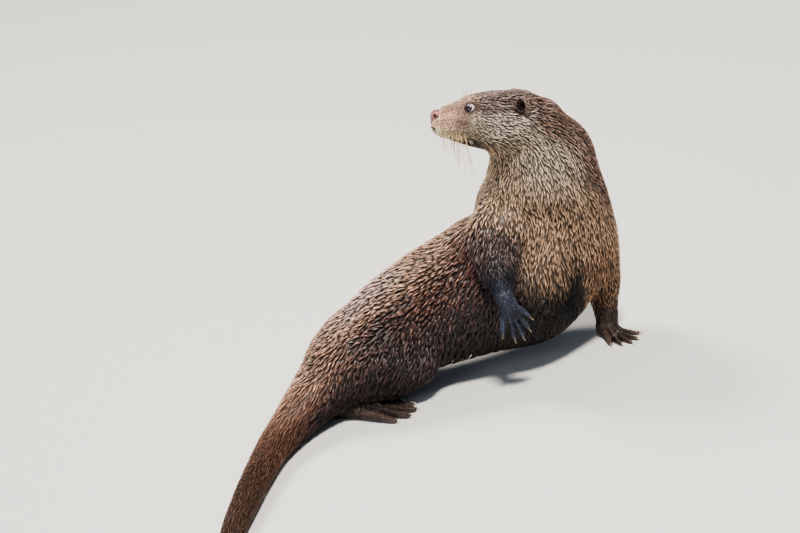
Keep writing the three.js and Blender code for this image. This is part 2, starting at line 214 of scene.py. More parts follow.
def blend(a, b, reach):
    """The union of two distances, rounded where they meet within reach of each other."""
    near = np.maximum(reach - np.abs(a - b), 0) / reach
    return np.minimum(a, b) - near * near * reach / 4


def carve(form, hollow, reach):
    return -blend(-form, hollow, reach)


def ellipsoid(points, at, radii):
    away = (points - np.asarray(at, float)) / radii
    far = np.linalg.norm(away, axis=1)
    return far * (far - 1) / np.maximum(np.linalg.norm(away / radii, axis=1), 1e-6)


def wobble(points, size, seed):
    """Smooth noise of about -1 to 1, with features of a size."""
    dice = np.random.default_rng(seed)
    waves = unit(dice.normal(size=(7, 3))) * dice.uniform(0.7, 1.5, (7, 1)) * (math.tau / size / 2)
    return np.sin(points @ waves.T + dice.uniform(0, math.tau, 7)).sum(1) / 3


def spline(values, places):
    """The smooth curve through values, at places counted in values."""
    ends = np.vstack([2 * values[0] - values[1], values, 2 * values[-1] - values[-2]])
    first = np.clip(np.floor(places).astype(int), 0, len(values) - 2)
    t = (places - first)[:, None]
    a, b, c, d = (ends[first + i] for i in range(4))
    return 0.5 * (2 * b + (c - a) * t + (2 * a - 5 * b + 4 * c - d) * t**2 + (3 * b - a - 3 * c + d) * t**3)


class Place:
    """A frame with its own origin, and X ahead, Y to the left and Z to the back."""

    def __init__(self, at, ahead, back):
        ahead = unit(ahead)
        left = unit(np.cross(back, ahead))
        self.at = np.asarray(at, float)
        self.axes = np.array([ahead, left, np.cross(ahead, left)])

    def inward(self, points):
        return (points - self.at) @ self.axes.T

    def outward(self, points):
        return np.asarray(points, float) @ self.axes + self.at

    def turned(self, directions):
        return np.asarray(directions, float) @ self.axes


def yawed(degrees):
    return (math.cos(math.radians(degrees)), math.sin(math.radians(degrees)), 0)


# ---- Forms of the body ----
# Each measures how far points are outside it, and what the coat does there.
class Loft:
    """A smooth form through stations, less its coat, with rounded ends."""

    FACING = 1.5  # a section faces the place this many stations ahead of it, seen from as many behind
    NEARNESS = 0.05  # share of plain nearness in the choice of a point's own section

    def __init__(self, stations, caps, place=None, step=7.0):
        centres = np.array([s[:3] for s in stations], float)
        backs = unit([s[6] for s in stations])
        if place:
            centres, backs = place.outward(centres), place.turned(backs)
        last = len(stations) - 1
        length = np.linalg.norm(np.diff(centres, axis=0), axis=1).sum()
        self.places = np.linspace(0, last, int(length / step) + 3)
        self.centre = spline(centres, self.places)
        ahead = spline(centres, np.clip(self.places + self.FACING, 0, last))
        behind = spline(centres, np.clip(self.places - self.FACING, 0, last))
        self.along = unit(ahead - behind)
        back = spline(backs, self.places)
        self.back = unit(back - self.along * dot(back, self.along)[:, None])
        self.side = np.cross(self.along, self.back)
        self.size = spline(np.array([s[3:6] for s in stations], float), self.places)
        self.size[:, :2] -= self.size[:, 2:]
        self.caps = [max(cap - stations[end][5], 0.5) for cap, end in zip(caps, (0, -1))]
        reach = self.size[:, :2].max(1)[:, None] + max(caps)
        self.box = (self.centre - reach).min(0), (self.centre + reach).max(0)

    def measure(self, points):
        """Distance, place along the stations, share of the way to the back, direction and depth of coat."""
        ahead, middle, spot = (table.astype(np.float32) for table in (self.along, self.centre, points))
        offset = spot @ ahead.T - dot(middle, ahead)
        nearness = dot(middle, middle) - 2 * spot @ middle.T
        row = np.argmin(offset * offset + self.NEARNESS * nearness, axis=1)
        own = dot(points - self.centre[row], self.along[row])
        other = np.clip(row + np.where(own > 0, 1, -1), 0, len(self.places) - 1)
        span = own - dot(points - self.centre[other], self.along[other])
        share = np.clip(own / np.where(np.abs(span) < 1e-6, 1, span), 0, 1) * (other != row)

        def here(table):
            return mix(table[row], table[other], share) if table.ndim > 1 else (
                table[row] * (1 - share) + table[other] * share
            )

        away = points - here(self.centre)
        size = here(self.size)
        cap = np.where(row == 0, *self.caps)
        beyond = np.where(other == row, own / cap, 0)
        across, upward = dot(away, here(self.side)), dot(away, here(self.back))
        scaled = np.stack([across / size[:, 0], upward / size[:, 1], beyond], 1)
        far = np.linalg.norm(scaled, axis=1)
        steep = np.linalg.norm(scaled / np.stack([size[:, 0], size[:, 1], cap], 1), axis=1)
        distance = far * (far - 1) / np.maximum(steep, 1e-6)
        around = np.arctan2(scaled[:, 0], scaled[:, 1])
        return distance, here(self.places), around, unit(here(self.along)), size[:, 2]

    def distance(self, points):
        return self.measure(points)[0]


head_place = Place(HEAD["at"], HEAD["nose"], HEAD["crown"])
skull_form = Loft(SKULL, (20, 5))
jaw_form = Loft(JAW, (8, 4))


def mirrored(vector, side):
    return np.array(vector, float) * (1, side, 1)


def lump(q, shape, side=1):
    """Distance out of a part of the head, given for its left side."""
    return ellipsoid(q, mirrored(shape["at"], side), shape["radii"])


def ear_inward(q, side):
    """Points of the head in the frame of an ear, with X out of its hollow."""
    lean, turn = -side * EAR["lean"], side * EAR["turn"]
    tilt = Matrix.Rotation(turn, 3, "Z") @ Matrix.Rotation(lean, 3, "X")
    return (q - mirrored(EAR["at"], side)) @ np.array(tilt)


def eye_place(side):
    return Place(mirrored(EYE["at"], side), mirrored(EYE["looks"], side), UP)


def head_solid(q):
    form = blend(skull_form.distance(q), jaw_form.distance(q), FACE_BLEND["jaw"])
    for side in SIDES.values():
        for part, reach in ((WHISKER_PAD, "pad"), (CHEEK, "cheek"), (BROW, "brow")):
            form = blend(form, lump(q, part, side), FACE_BLEND[reach])
        lid = EYE["radius"] + EYE["lid"]
        form = blend(form, ellipsoid(q, mirrored(EYE["at"], side), (lid, lid, lid)), FACE_BLEND["lid"])
        form = blend(form, ellipsoid(ear_inward(q, side), (0, 0, 0), EAR["radii"]), FACE_BLEND["ear"])
    return form


def eye_opening(q, side):
    """Distance out of the slit between the lids, seen along the way the eye looks."""
    out, left, above = eye_place(side).inward(q).T
    tilt = math.radians(EYE_OPENING["tilt"]) * side
    level = left * math.cos(tilt) + above * math.sin(tilt)
    rise = above * math.cos(tilt) - left * math.sin(tilt)
    arcs = []
    for height, way in ((EYE_OPENING["above"], 1), (EYE_OPENING["below"], -1)):
        radius = (EYE_OPENING["half"] ** 2 + height**2) / (2 * height)
        arcs.append(np.hypot(level, rise + way * (radius - height)) - radius)
    return np.maximum(*arcs), out


def lip_gap(q):
    return q[:, 2] - np.interp(q[:, 0], *np.transpose(LIP_LINE))


def head_carved(form, q):
    """The form with the sockets, the ears' hollows and the line of the mouth cut into it."""
    for side in SIDES.values():
        opening, out = eye_opening(q, side)
        form = carve(form, np.maximum(opening, 1 - out), 0.8)
        ball = EYE["radius"] + 0.1
        form = carve(form, ellipsoid(q, mirrored(EYE["at"], side), (ball, ball, ball)), 0.3)
        form = carve(form, ellipsoid(ear_inward(q, side), EAR_HOLLOW["at"], EAR_HOLLOW["radii"]), 1.5)
    wide = LIP_GROOVE["wide"] * ramp(q[:, 0], LIP_LINE[0][0], LIP_LINE[1][0])
    groove = np.maximum(np.abs(lip_gap(q)) - wide, -form - LIP_GROOVE["deep"])
    return carve(form, np.where(wide > 0.05, groove, 9.0), 1.2)


class Head:
    """The skull, jaw, eyelids and ears together, in reach of a point in the middle of the head."""

    MIDDLE, REACH = head_place.outward((30, 0, 0)), 75.0
    box = MIDDLE - REACH, MIDDLE + REACH

    def measure(self, points):
        q = head_place.inward(points)
        _, place, around, _, fur = skull_form.measure(q)
        lie = np.stack([np.full(len(q), -1.0), 0.25 * np.sign(q[:, 1]), -0.3 * ramp(q[:, 2], 12, -8)], 1)
        for side in SIDES.values():
            at_ear = ramp(ellipsoid(ear_inward(q, side), (0, 0, 0), EAR["radii"]), 3, 0.5)
            fur = fur + (EAR["coat"] - fur) * at_ear
        return head_solid(q), place, around, head_place.turned(unit(lie)), fur


class Paw:
    """A webbed paw, with side +1 where the innermost toe lies to the left of the middle one."""

    def __init__(self, shape, side, place):
        self.shape, self.place, self.side = shape, place, side
        self.toes = [(angle * side, reach) for angle, reach in shape["toes"]]
        palm, radius = shape["palm"], shape["radius"]
        heel, knuckles, across, tall = (palm[key] for key in ("heel", "knuckles", "across", "tall"))
        stations = [
            (-heel, 0, tall * 1.1 - SOLE_DIP, across * 0.7, tall * 1.1, PAW_COAT, UP),
            (knuckles * 0.5, 0, tall * 1.05 - SOLE_DIP, across * 0.9, tall * 1.05, PAW_COAT, UP),
            (knuckles, 0, tall * 0.8 - SOLE_DIP, across, tall * 0.8, PAW_COAT, UP),
        ]
        self.root = knuckles * 0.6
        self.forms = [Loft(stations, (tall * 0.8, 5))]
        for angle, reach in self.toes:
            stations = []
            for share, thick, lift in TOE:
                out = self.root + (reach - radius - self.root) * share
                high = radius * (thick + lift) - SOLE_DIP
                x, y, _ = np.multiply(yawed(angle), out)
                stations.append((x, y, high, radius * thick, radius * thick, PAW_COAT, UP))
            self.forms.append(Loft(stations, (1, radius * 0.8)))
        low, high = (np.array([form.box[i] for form in self.forms]) for i in (0, 1))
        corners = np.array(np.meshgrid(*zip(low.min(0), high.max(0)))).reshape(3, -1).T
        self.box = place.outward(corners).min(0), place.outward(corners).max(0)

    def hollow(self, q):
        """How far round points are from the toes' middle lines, 1 being half way from one to the next."""
        angle = np.degrees(np.arctan2(q[:, 1], q[:, 0])) * self.side
        angles = np.array([a for a, _ in self.shape["toes"]])[::-1]
        between = np.interp(angle, angles, np.arange(len(angles))) % 1
        middle, half = (angles[0] + angles[-1]) / 2, (angles[-1] - angles[0]) / 2
        return 4 * between * (1 - between), np.radians(np.abs(angle - middle) - half)

    def web(self, q):
        """The sheet of skin between the toes, scooped out along its free edge."""
        far = np.hypot(q[:, 0], q[:, 1])
        hollow, beside = self.hollow(q)
        edge = self.shape["web"] * (1 - WEB["scoop"] * hollow)
        height = self.shape["radius"] * WEB["rise"]
        return np.maximum.reduce([np.abs(q[:, 2] - height) - WEB["half"], far - edge, beside * far])

    def measure(self, points):
        q = self.place.inward(points)
        form = self.forms[0].distance(q)
        for toe in self.forms[1:]:
            form = blend(form, toe.distance(q), TOE_BLEND)
        form = blend(form, self.web(q), TOE_BLEND)
        lie = self.place.turned(unit(np.stack([np.maximum(q[:, 0], 0) + 9, q[:, 1], 0 * q[:, 0]], 1)))
        return form, q[:, 0], q[:, 1], lie, np.full(len(q), 0.8) * (q[:, 2] > 3)

    def streaks(self, points):
        """The painted light of the paw: a painted highlight along the toes and painted shade between them."""
        q = self.place.inward(points)
        hollow, _ = self.hollow(q)
        low, high = PAW_SHADE_AND_HIGHLIGHT
        toes = high + (low - high) * hollow
        return 1 + (toes - 1) * ramp(q[:, 0], self.root * 0.4, self.root * 1.4)

    def claw_path(self, angle, reach):
        """The middle line of a claw, which hooks down over the tip of its toe."""
        shares = np.linspace(0, 1, 8)
        out = reach - CLAW["sunk"] + CLAW["long"] * shares
        high = self.shape["radius"] + CLAW["rise"] - CLAW["radius"] * 2.0 * shares**2
        ahead = np.array(yawed(angle))
        return self.place.outward(out[:, None] * ahead + high[:, None] * np.array(UP)), shares


def hip_place(side):
    """The frame of a hind leg, whose stations are mirrored for the right one."""
    return Place(HIPS["at"], yawed(HIPS["yaw"]), UP)


def on_side(stations, side):
    return [(s[0], s[1] * side, *s[2:]) for s in stations]


def hind_paw(side):
    at = hip_place(side).outward(mirrored(HIND_WRIST["at"], side))
    ahead = yawed(HIPS["yaw"] + side * HIND_WRIST["splay"])
    return Paw(HINDPAW, -side, Place(at, ahead, UP))


FORMS = {"body": Loft(BODY, (4, 16)), "head": Head()}
for name, side in SIDES.items():
    FORMS[f"foreleg_{name}"] = Loft(FORELEG[name], (20, 7))
    FORMS[f"thigh_{name}"] = Loft(on_side(THIGH, side), (20, 14), hip_place(side))
    FORMS[f"shank_{name}"] = Loft(on_side(SHANK, side), (12, 8), hip_place(side))
    wrist = PAWS[f"fore_{name}"]
    FORMS[f"forepaw_{name}"] = Paw(FOREPAW, -side, Place(wrist["at"], wrist["toes"], wrist["back"]))
    FORMS[f"hindpaw_{name}"] = hind_paw(side)
FAR = 60.0  # stands for a distance that isn't worked out


def readings(points, names=FORMS):
    """What each form measures at the points in its own box, and FAR elsewhere."""
    found = {}
    for name in names:
        low, high = FORMS[name].box
        near = ((points > low - REACH) & (points < high + REACH)).all(1)
        table = [np.full(len(points), FAR), *np.zeros((2, len(points))), np.zeros((len(points), 3))]
        table.append(np.zeros(len(points)))
        if near.any():
            for column, values in zip(table, FORMS[name].measure(points[near])):
                column[near] = values
        found[name] = table
    return found


def skin_of(found, points):
    """The distance to the skin, from what the forms measure."""
    form = blend(found["body"][0], ellipsoid(points, WITHERS["at"], WITHERS["radii"]), WITHERS["blend"])
    for name, (distance, place, *_) in found.items():
        kind = name.split("_")[0]
        if kind == "foreleg":
            form = blend(form, distance, np.interp(place, *FORELEG_BLEND))
        elif kind != "body":
            form = blend(form, distance, BLEND[kind])
    form = form + 0.5 * wobble(points, 34, 1) * ramp(found["body"][1], 3, 7) * ramp(found["head"][0], 4, 20)
    at_head = found["head"][0] < FAR
    if at_head.any():
        form[at_head] = head_carved(form[at_head], head_place.inward(points[at_head]))
    return np.maximum(form, SOLE - points[:, 2])


def skin(points, chunk=30000):
    points = np.asarray(points, float)
    parts = [points[i : i + chunk] for i in range(0, len(points), chunk)]
    return np.concatenate([skin_of(readings(part), part) for part in parts])


def slope(form, points, step=0.3):
    """The distance at points, and its gradient there."""
    corners = np.array([(1, 1, 1), (1, -1, -1), (-1, 1, -1), (-1, -1, 1)]) * step
    values = np.stack([form(points + corner) for corner in corners])
    return values.mean(0), (values[:, :, None] * corners[:, None]).sum(0) / (4 * step**2)


def settle(form, points, times=3, limit=1.5):
    """Moves points onto the surface of a form, and gives its normals there."""
    for _ in range(times):
        distance, gradient = slope(form, points)
        step = distance / np.maximum(dot(gradient, gradient), 0.05)
        move = gradient * step[:, None]
        far = np.linalg.norm(move, axis=1, keepdims=True)
        points = points - move * np.minimum(1, limit / np.maximum(far, 1e-9))
    return points, unit(gradient)


# ---- Meshes ----
CHILDREN = np.array([(i, j, k) for i in (0, 1) for j in (0, 1) for k in (0, 1)])


def meshed(form, low, high, coarse, halvings, flatness=0.0):
    """A closed mesh round a form. Cells of a coarse grid are halved again and again near its surface."""
    low, size = np.asarray(low, float), coarse
    shape = np.ceil((np.asarray(high) - low) / coarse).astype(int)
    cells = np.stack(np.meshgrid(*map(np.arange, shape), indexing="ij"), -1).reshape(-1, 3)
    values = form(low + (cells + 0.5) * size)
    field = values.reshape(shape).astype(np.float32)
    for _ in range(halvings):
        near = cells[np.abs(values) < 1.3 * size]
        size /= 2
        cells = (near[:, None] * 2 + CHILDREN).reshape(-1, 3)
        values = form(low + (cells + 0.5) * size)
        field = field.repeat(2, 0).repeat(2, 1).repeat(2, 2)
        field[tuple(cells.T)] = values
    grid = openvdb.FloatGrid(coarse)
    grid.copyFromArray(np.ascontiguousarray(field))
    points, triangles, quads = grid.convertToPolygons(isovalue=0.0, adaptivity=flatness)
    faces = np.concatenate([triangles, quads[:, [0, 1, 2]], quads[:, [0, 2, 3]]]).astype(int)
    return low + (points.astype(float) + 0.5) * size, faces


def refined(points, faces, wanted):
    """Splits the edges that are longer than is wanted at their middles, and keeps the mesh closed."""
    edges = faces[:, [0, 1, 1, 2, 2, 0]].reshape(-1, 2)
    edges, of_face = np.unique(np.sort(edges, axis=1), axis=0, return_inverse=True)
    of_face = of_face.reshape(-1, 3)
    middles = points[edges].mean(1)
    split = np.linalg.norm(points[edges[:, 0]] - points[edges[:, 1]], axis=1) > wanted(middles)
    number = np.cumsum(split) - 1 + len(points)
    cut = split[of_face]
    made = [faces[~cut.any(1)]]
    for turn in range(3):
        a, b, c = (np.roll(faces, -turn, 1)[:, i] for i in range(3))
        ab, bc, ca = (number[np.roll(of_face, -turn, 1)[:, i]] for i in range(3))
        one, two, three = (np.roll(cut, -turn, 1)[:, i] for i in range(3))
        for pattern, corners in (
            (one & ~two & ~three, [(a, ab, c), (ab, b, c)]),
            (one & two & ~three, [(ab, b, bc), (a, ab, bc), (a, bc, c)]),
            (one & two & three & (turn == 0), [(a, ab, ca), (ab, b, bc), (ca, bc, c), (ab, bc, ca)]),
        ):
            made += [np.stack(corner, 1)[pattern] for corner in corners]
    return np.vstack([points, middles[split]]), np.concatenate(made)


def ring_faces(rings, sides):
    """Faces that join rings of points, and close them to a first and a last point, numbered after them."""
    faces, end = [], (rings - 1) * sides
    for i in range(sides):
        j = (i + 1) % sides
        faces += [(end + sides, j, i), (end + sides + 1, end + i, end + j)]
        for r in range(0, end, sides):
            faces += [(r + i, r + j, r + sides + j), (r + i, r + sides + j, r + sides + i)]
    return np.array(faces)


def tube(path, radii, sides, flat=1.0, up=UP):
    """A closed tapering tube round a path, which ends in a point. Flat squeezes it sideways."""
    along = unit(np.gradient(path, axis=0))
    side = unit(np.cross(along, up))
    top = np.cross(side, along)
    turns = np.arange(sides) * math.tau / sides
    ring = np.cos(turns)[:, None, None] * side * flat + np.sin(turns)[:, None, None] * top
    points = path + ring * np.asarray(radii)[:, None]
    points = np.vstack([points.transpose(1, 0, 2)[:-1].reshape(-1, 3), path[0], path[-1]])
    return points, ring_faces(len(path) - 1, sides)


def joined(meshes):
    """One mesh from several, each of points and faces."""
    starts = np.cumsum([0] + [len(points) for points, _ in meshes[:-1]])
    return np.vstack([m[0] for m in meshes]), np.vstack([m[1] + s for m, s in zip(meshes, starts)])


eye_low, eye_high = (np.array(corner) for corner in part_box("eye_left"))
EYE_CENTRE = head_place.outward(EYE["at"])
SHIFT = (eye_low + eye_high) / 2 / MM - EYE_CENTRE  # from the design frame to the row frame


def piece(name, points, faces, look, slot, colours=None, uv=None):
    """A smooth mesh object from points of the design frame, which rides on the body."""
    mesh = bpy.data.meshes.new(name)
    mesh.vertices.add(len(points))
    mesh.vertices.foreach_set("co", ((points + SHIFT) * MM).astype(np.float32).ravel())
    mesh.loops.add(faces.size)
    mesh.loops.foreach_set("vertex_index", faces.astype(np.int32).ravel())
    mesh.polygons.add(len(faces))
    mesh.polygons.foreach_set("loop_start", np.arange(0, faces.size, 3, dtype=np.int32))
    mesh.update(calc_edges=True)
    mesh.shade_smooth()
    if colours is not None:
        layer = mesh.color_attributes.new("coat", "FLOAT_COLOR", "POINT")
        rgba = np.column_stack([colours, np.ones(len(colours))]).astype(np.float32)
        layer.data.foreach_set("color", rgba.ravel())
    if uv is not None:
        layer = mesh.uv_layers.new(name="OFBake")
        layer.uv.foreach_set("vector", uv[faces.ravel()].astype(np.float32).ravel())
    thing = bpy.data.objects.new(name, mesh)
    bpy.context.collection.objects.link(thing)
    mesh.materials.append(look)
    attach(thing, "root")
    return thing


# ---- Colours of the coat ----
def paint(*rgb):
    """A colour named as a screen shows it, as light."""
    share = np.array(rgb) / 255
    return np.where(share <= 0.04045, share / 12.92, ((share + 0.055) / 1.055) ** 2.4)


# The back's colour is its brown made pale by a painted sheen. The lower flank's and the belly's colours are
# painted shade, with a painted blue-grey reflection of the sky on the lower flank.
BACK_AND_SHEEN, FLANK, SHADED_LOW_FLANK = paint(212, 168, 138), paint(108, 70, 57), paint(80, 62, 60)
# The loin's pale colour is a painted sheen.
SHADED_BELLY, LOIN_SHEEN, RUMP = paint(48, 36, 30), paint(230, 194, 178), paint(184, 142, 118)
# The brisket's near-black colour is painted shadow under the chest.
CHEST_FRONT, BRISKET_SHADOW = paint(232, 190, 154), paint(14, 9, 6)
THROAT, NECK_SIDE, NAPE = paint(238, 206, 172), paint(250, 228, 202), paint(142, 113, 98)
TAIL, TAIL_END = paint(130, 92, 72), paint(104, 76, 60)
# The left foreleg's colour is its brown painted pale as if lit. The right upper arm's and forearm's colours
# are painted shade with a painted blue reflection of the sky.
LIT_LEG, SHIN, SHADED_UPPER_ARM, SHADED_FOREARM = paint(200, 156, 120), paint(78, 60, 50), paint(116, 95, 90), paint(38, 38, 50)
# The right forepaw's colour is painted shade with a painted blue reflection of the sky. The other paws'
# colour is their own dark brown, made a little darker as painted shade.
PAW, SHADED_BLUE_PAW = paint(76, 62, 56), paint(56, 60, 76)
PAW_SHADE_AND_HIGHLIGHT = (0.32, 1.6)  # painted shade between the toes and painted highlight along them
# The jowls' colour is painted shade under the cheek.
CROWN, CHEEKS, JOWL_SHADE = paint(150, 124, 114), paint(250, 230, 206), paint(92, 70, 58)
MUZZLE_TOP, MUZZLE_SIDE, LIPS = paint(164, 132, 110), paint(216, 174, 150), paint(244, 220, 186)
NOSE_PINK, NOSE_GREY, NOSE_DARK = paint(172, 106, 100), paint(104, 76, 72), paint(50, 26, 28)
# The mouth's near-black colour is painted shade in its groove and at its corner.
EYE_STREAK, EYELID, MOUTH_SHADE = paint(62, 40, 32), paint(60, 38, 34), paint(26, 17, 16)
EAR_INSIDE, EAR_RIM = paint(62, 40, 32), paint(166, 138, 122)


def layered(colour, *layers):
    """The colour under layers of paint, each with its share."""
    for other, share in layers:
        colour = mix(colour, other, share)
    return colour


def head_marking(q):
    x, y, z = q.T
    shade = ramp(np.hypot(x - 66, z - 1), 15, 2) * 0.5  # between the eye and the nostril
    streak = ramp(x, 52, 44) * ramp(x, 14, 30) * ramp(np.abs(z - 9 - (46 - x) * 0.06), 5, 1) * 0.75
    mouth_back = LIP_LINE[0][0]
    colour = layered(
        CHEEKS,
        (CROWN, ramp(z, 2, 15)),
        (NAPE, ramp(x, 4, -16) * ramp(z + 0.7 * (10 - x), -4, 10)),
        (THROAT, ramp(z, -18, -30)),
        (MUZZLE_SIDE, ramp(x, 54, 66)),
        (MUZZLE_TOP, ramp(x, 40, 60) * ramp(z, 2, 12)),
        (LIPS, ramp(x, 42, 60) * ramp(z, -3, -12)),
        (EYE_STREAK, np.clip(shade + streak, 0, 1) * (np.abs(y) > 9)),
        # painted shade in the mouth's groove
        (MOUTH_SHADE, ramp(np.abs(lip_gap(q) + 0.8), 2.4, 1.0) * ramp(x, mouth_back - 3, mouth_back)),
        # painted shade under the cheek, behind the mouth's corner
        (JOWL_SHADE, ramp(np.hypot(x - 45, (z + 29) * 1.2), 17, 6) * 0.6),
        # painted shade at the mouth's corner
        (MOUTH_SHADE, ramp(np.hypot(x - MOUTH_CORNER[0], (z - MOUTH_CORNER[1]) * 1.5), 12, 6) * 0.9),
        # dark lips, with painted shade under the upper lip
        (EYE_STREAK, ramp(lip_gap(q), -0.5, -3) * ramp(x, 84, 72) * ramp(x, 44, 56) * 0.8),
    )
    for side in SIDES.values():
        opening, out = eye_opening(q, side)
        in_ear = ear_inward(q, side)
        hollow = ellipsoid(in_ear, EAR_HOLLOW["at"], EAR_HOLLOW["radii"])
        colour = layered(
            colour,
            (NOSE_DARK, ramp(lump(q, NOSTRIL_PIT, side), 1.8, 0.6)),
            (EYELID, ramp(opening, 1.5, 0.6) * (out > -1) * (out < 12)),
            # dark fur and painted shade before the ear
            (EYE_STREAK, ramp(lump(q, EAR_SHADE, side), 2, -3) * 0.9),
            (EAR_RIM, ramp(ellipsoid(in_ear, (0, 0, 0), EAR["radii"]), 2, 0.4) * 0.8),
            (EAR_INSIDE, ramp(hollow, 0.8, 0)),
        )
    return colour


def marking(points, found):
    """The colour of the coat at points of the skin, from what the forms measure there, with painted light and
    shade in it.
    """
    place, around = found["body"][1:3]
    ahead, _, height = points.T
    back = np.cos(around)  # from -1 on the belly to 1 on the back
    behind = ramp(back + 0.3 * ramp(place, 13.6, 14.8), 0.55, 0.95)
    behind = np.maximum(behind, ramp(ahead + 0.25 * (height - 200), 206, 228))
    front, by_leg = ramp(place, 10.4, 11.4), ramp(ahead, 184, 202)
    # Painted shadow low on the chest, lifted beside the left foreleg.
    low = ramp(height - 0.8 * (ahead - 150) + 10 * wobble(points, 40, 5), 124, 70) * (1 - by_leg)
    colour = layered(
        # Painted light over the body: a painted sheen on the back, and painted shade on the lower flank, the
        # hip and the belly.
        SHADED_LOW_FLANK,
        (FLANK, ramp(back, -0.25, 0.35)),
        (BACK_AND_SHEEN, ramp(back, 0.4, 0.95)),
        (SHADED_BELLY, ramp(back, -0.35, -0.85)),
        (SHADED_LOW_FLANK, ramp(place, 9.6, 8.4) * ramp(back, 0.85, 0.45) * 0.75),
        # a painted sheen on the loin
        (LOIN_SHEEN, ramp(np.abs(place - 8.8), 1, 0.3) * ramp(back, 0.75, 0.98)),
        (CHEST_FRONT, ramp(place, 10.9, 12.4) * ramp(back, 0.35, -0.4)),
        (THROAT, ramp(place, 12.2, 14.8) * ramp(back, 0.2, -0.6)),
        (NECK_SIDE, ramp(place, 13.2, 14.8) * ramp(np.abs(back - 0.1), 0.95, 0.4)),
        (NAPE, ramp(place, 12.2, 13.4) * behind * 0.95),
        # painted shadow on the brisket
        (BRISKET_SHADOW, front * low * ramp(back, 0.5, -0.1)),
        # the left foreleg's painted light, carried onto the chest beside it
        (LIT_LEG, front * by_leg * ramp(height, 130, 90)),
        (RUMP, ramp(place, 8.6, 7.4) * ramp(back, 0, 0.8) * 0.8),
        (TAIL, ramp(place, 6.6, 4.6)),
        (TAIL_END, ramp(place, 5.2, 3.2)),
    )
    for name, (distance, along, *_) in found.items():
        apart = ramp(distance - found["body"][0], 10, -10)
        below_joint = apart * ramp(along, 0.2, 1.4)
        # The right foreleg is painted in shade with a blue sky reflection, and the left one is painted as
        # lit.
        if name == "foreleg_right":
            colour = mix(colour, SHADED_UPPER_ARM, apart * ramp(along, 0.6, 1.8))
            colour = mix(colour, SHADED_FOREARM, apart * ramp(distance, 9, 1) * ramp(along, 1.9, 3.4))
        elif name == "foreleg_left":
            colour = mix(colour, mix(LIT_LEG, SHIN, ramp(along, 1.8, 4.8)), below_joint)
        elif name.startswith("shank"):
            colour = mix(colour, SHIN, below_joint)
        elif "paw" in name:
            # painted shade on the paws, with a blue sky reflection on the right forepaw, times the painted
            # light of the toes
            bare = (SHADED_BLUE_PAW if name == "forepaw_right" else PAW) * FORMS[name].streaks(points)[:, None]
            colour = mix(colour, bare, apart * ramp(distance, 24, 2))
    q = head_place.inward(points)
    return mix(colour, head_marking(q), ramp(found["head"][0], 14, 1) * ramp(q[:, 0], -32, -8))


# ---- Looks ----
# A look has its gloss, and three noises: tint varies the painted colour, wear the roughness and grain the
# bump. Tint and grain hold the noise's scale and detail, wear its scale, and then come the lowest and highest
# value, or for the grain the height in metres and the strength.
LOOKS = {
    "wet_coat": {
        "roughness": 0.35, "specular": 0.55,
        "tint": (900, 3, 0.8, 1.2), "wear": (260, 0.27, 0.45), "grain": (1400, 2, 0.0002, 0.5),
    },
    "wet_skin": {
        "roughness": 0.5, "specular": 0.45,
        "tint": (1100, 3, 0.72, 1.25), "wear": (300, 0.4, 0.62), "grain": (1300, 4, 0.0004, 0.7),
    },
    "eye": {"roughness": 0.04, "specular": 0.6, "tint": (700, 5, 0.9, 1.08), "varnish": (0.6, 0.02)},
    "nose_skin": {"roughness": 0.36, "specular": 0.6, "tint": (500, 3, 0.82, 1.15), "wear": (600, 0.28, 0.5)},
    "claw": {"roughness": 0.35, "specular": 0.5, "tint": (400, 3, 0.8, 1.15), "wear": (900, 0.27, 0.47)},
    "whisker": {"roughness": 0.4, "specular": 0.5, "tint": (400, 3, 0.8, 1.15), "wear": (900, 0.32, 0.52)},
}
NOSE_GRAIN = {"scale": 1100, "height": 0.0003, "strength": 0.6}
NOISE_RANGE = (0.3, 0.7)  # the part of a noise's range that is spread from the lowest to the highest value


def material(name, roughness):
    """A material with its nodes and its surface shader."""
    look = bpy.data.materials.new(name)
    look.use_nodes = True
    shader = look.node_tree.nodes["Principled BSDF"]
    shader.inputs["Roughness"].default_value = roughness
    return look, look.node_tree, shader


def noise(tree, scale, detail=3.0):
    node = tree.nodes.new("ShaderNodeTexNoise")
    node.inputs["Scale"].default_value = scale
    node.inputs["Detail"].default_value = detail
    where = tree.nodes.new("ShaderNodeTexCoord").outputs["Object"]
    tree.links.new(where, node.inputs["Vector"])
    return node.outputs["Fac"]


def ranged(tree, value, low, high):
    node = tree.nodes.new("ShaderNodeMapRange")
    for socket, number in zip(("From Min", "From Max", "To Min", "To Max"), (*NOISE_RANGE, low, high)):
        node.inputs[socket].default_value = number
    tree.links.new(value, node.inputs["Value"])
    return node.outputs["Result"]


def bumped(tree, shader, surface, height, strength):
    node = tree.nodes.new("ShaderNodeBump")
    node.inputs["Distance"].default_value = height
    node.inputs["Strength"].default_value = strength
    tree.links.new(surface, node.inputs["Height"])
    tree.links.new(node.outputs["Normal"], shader.inputs["Normal"])


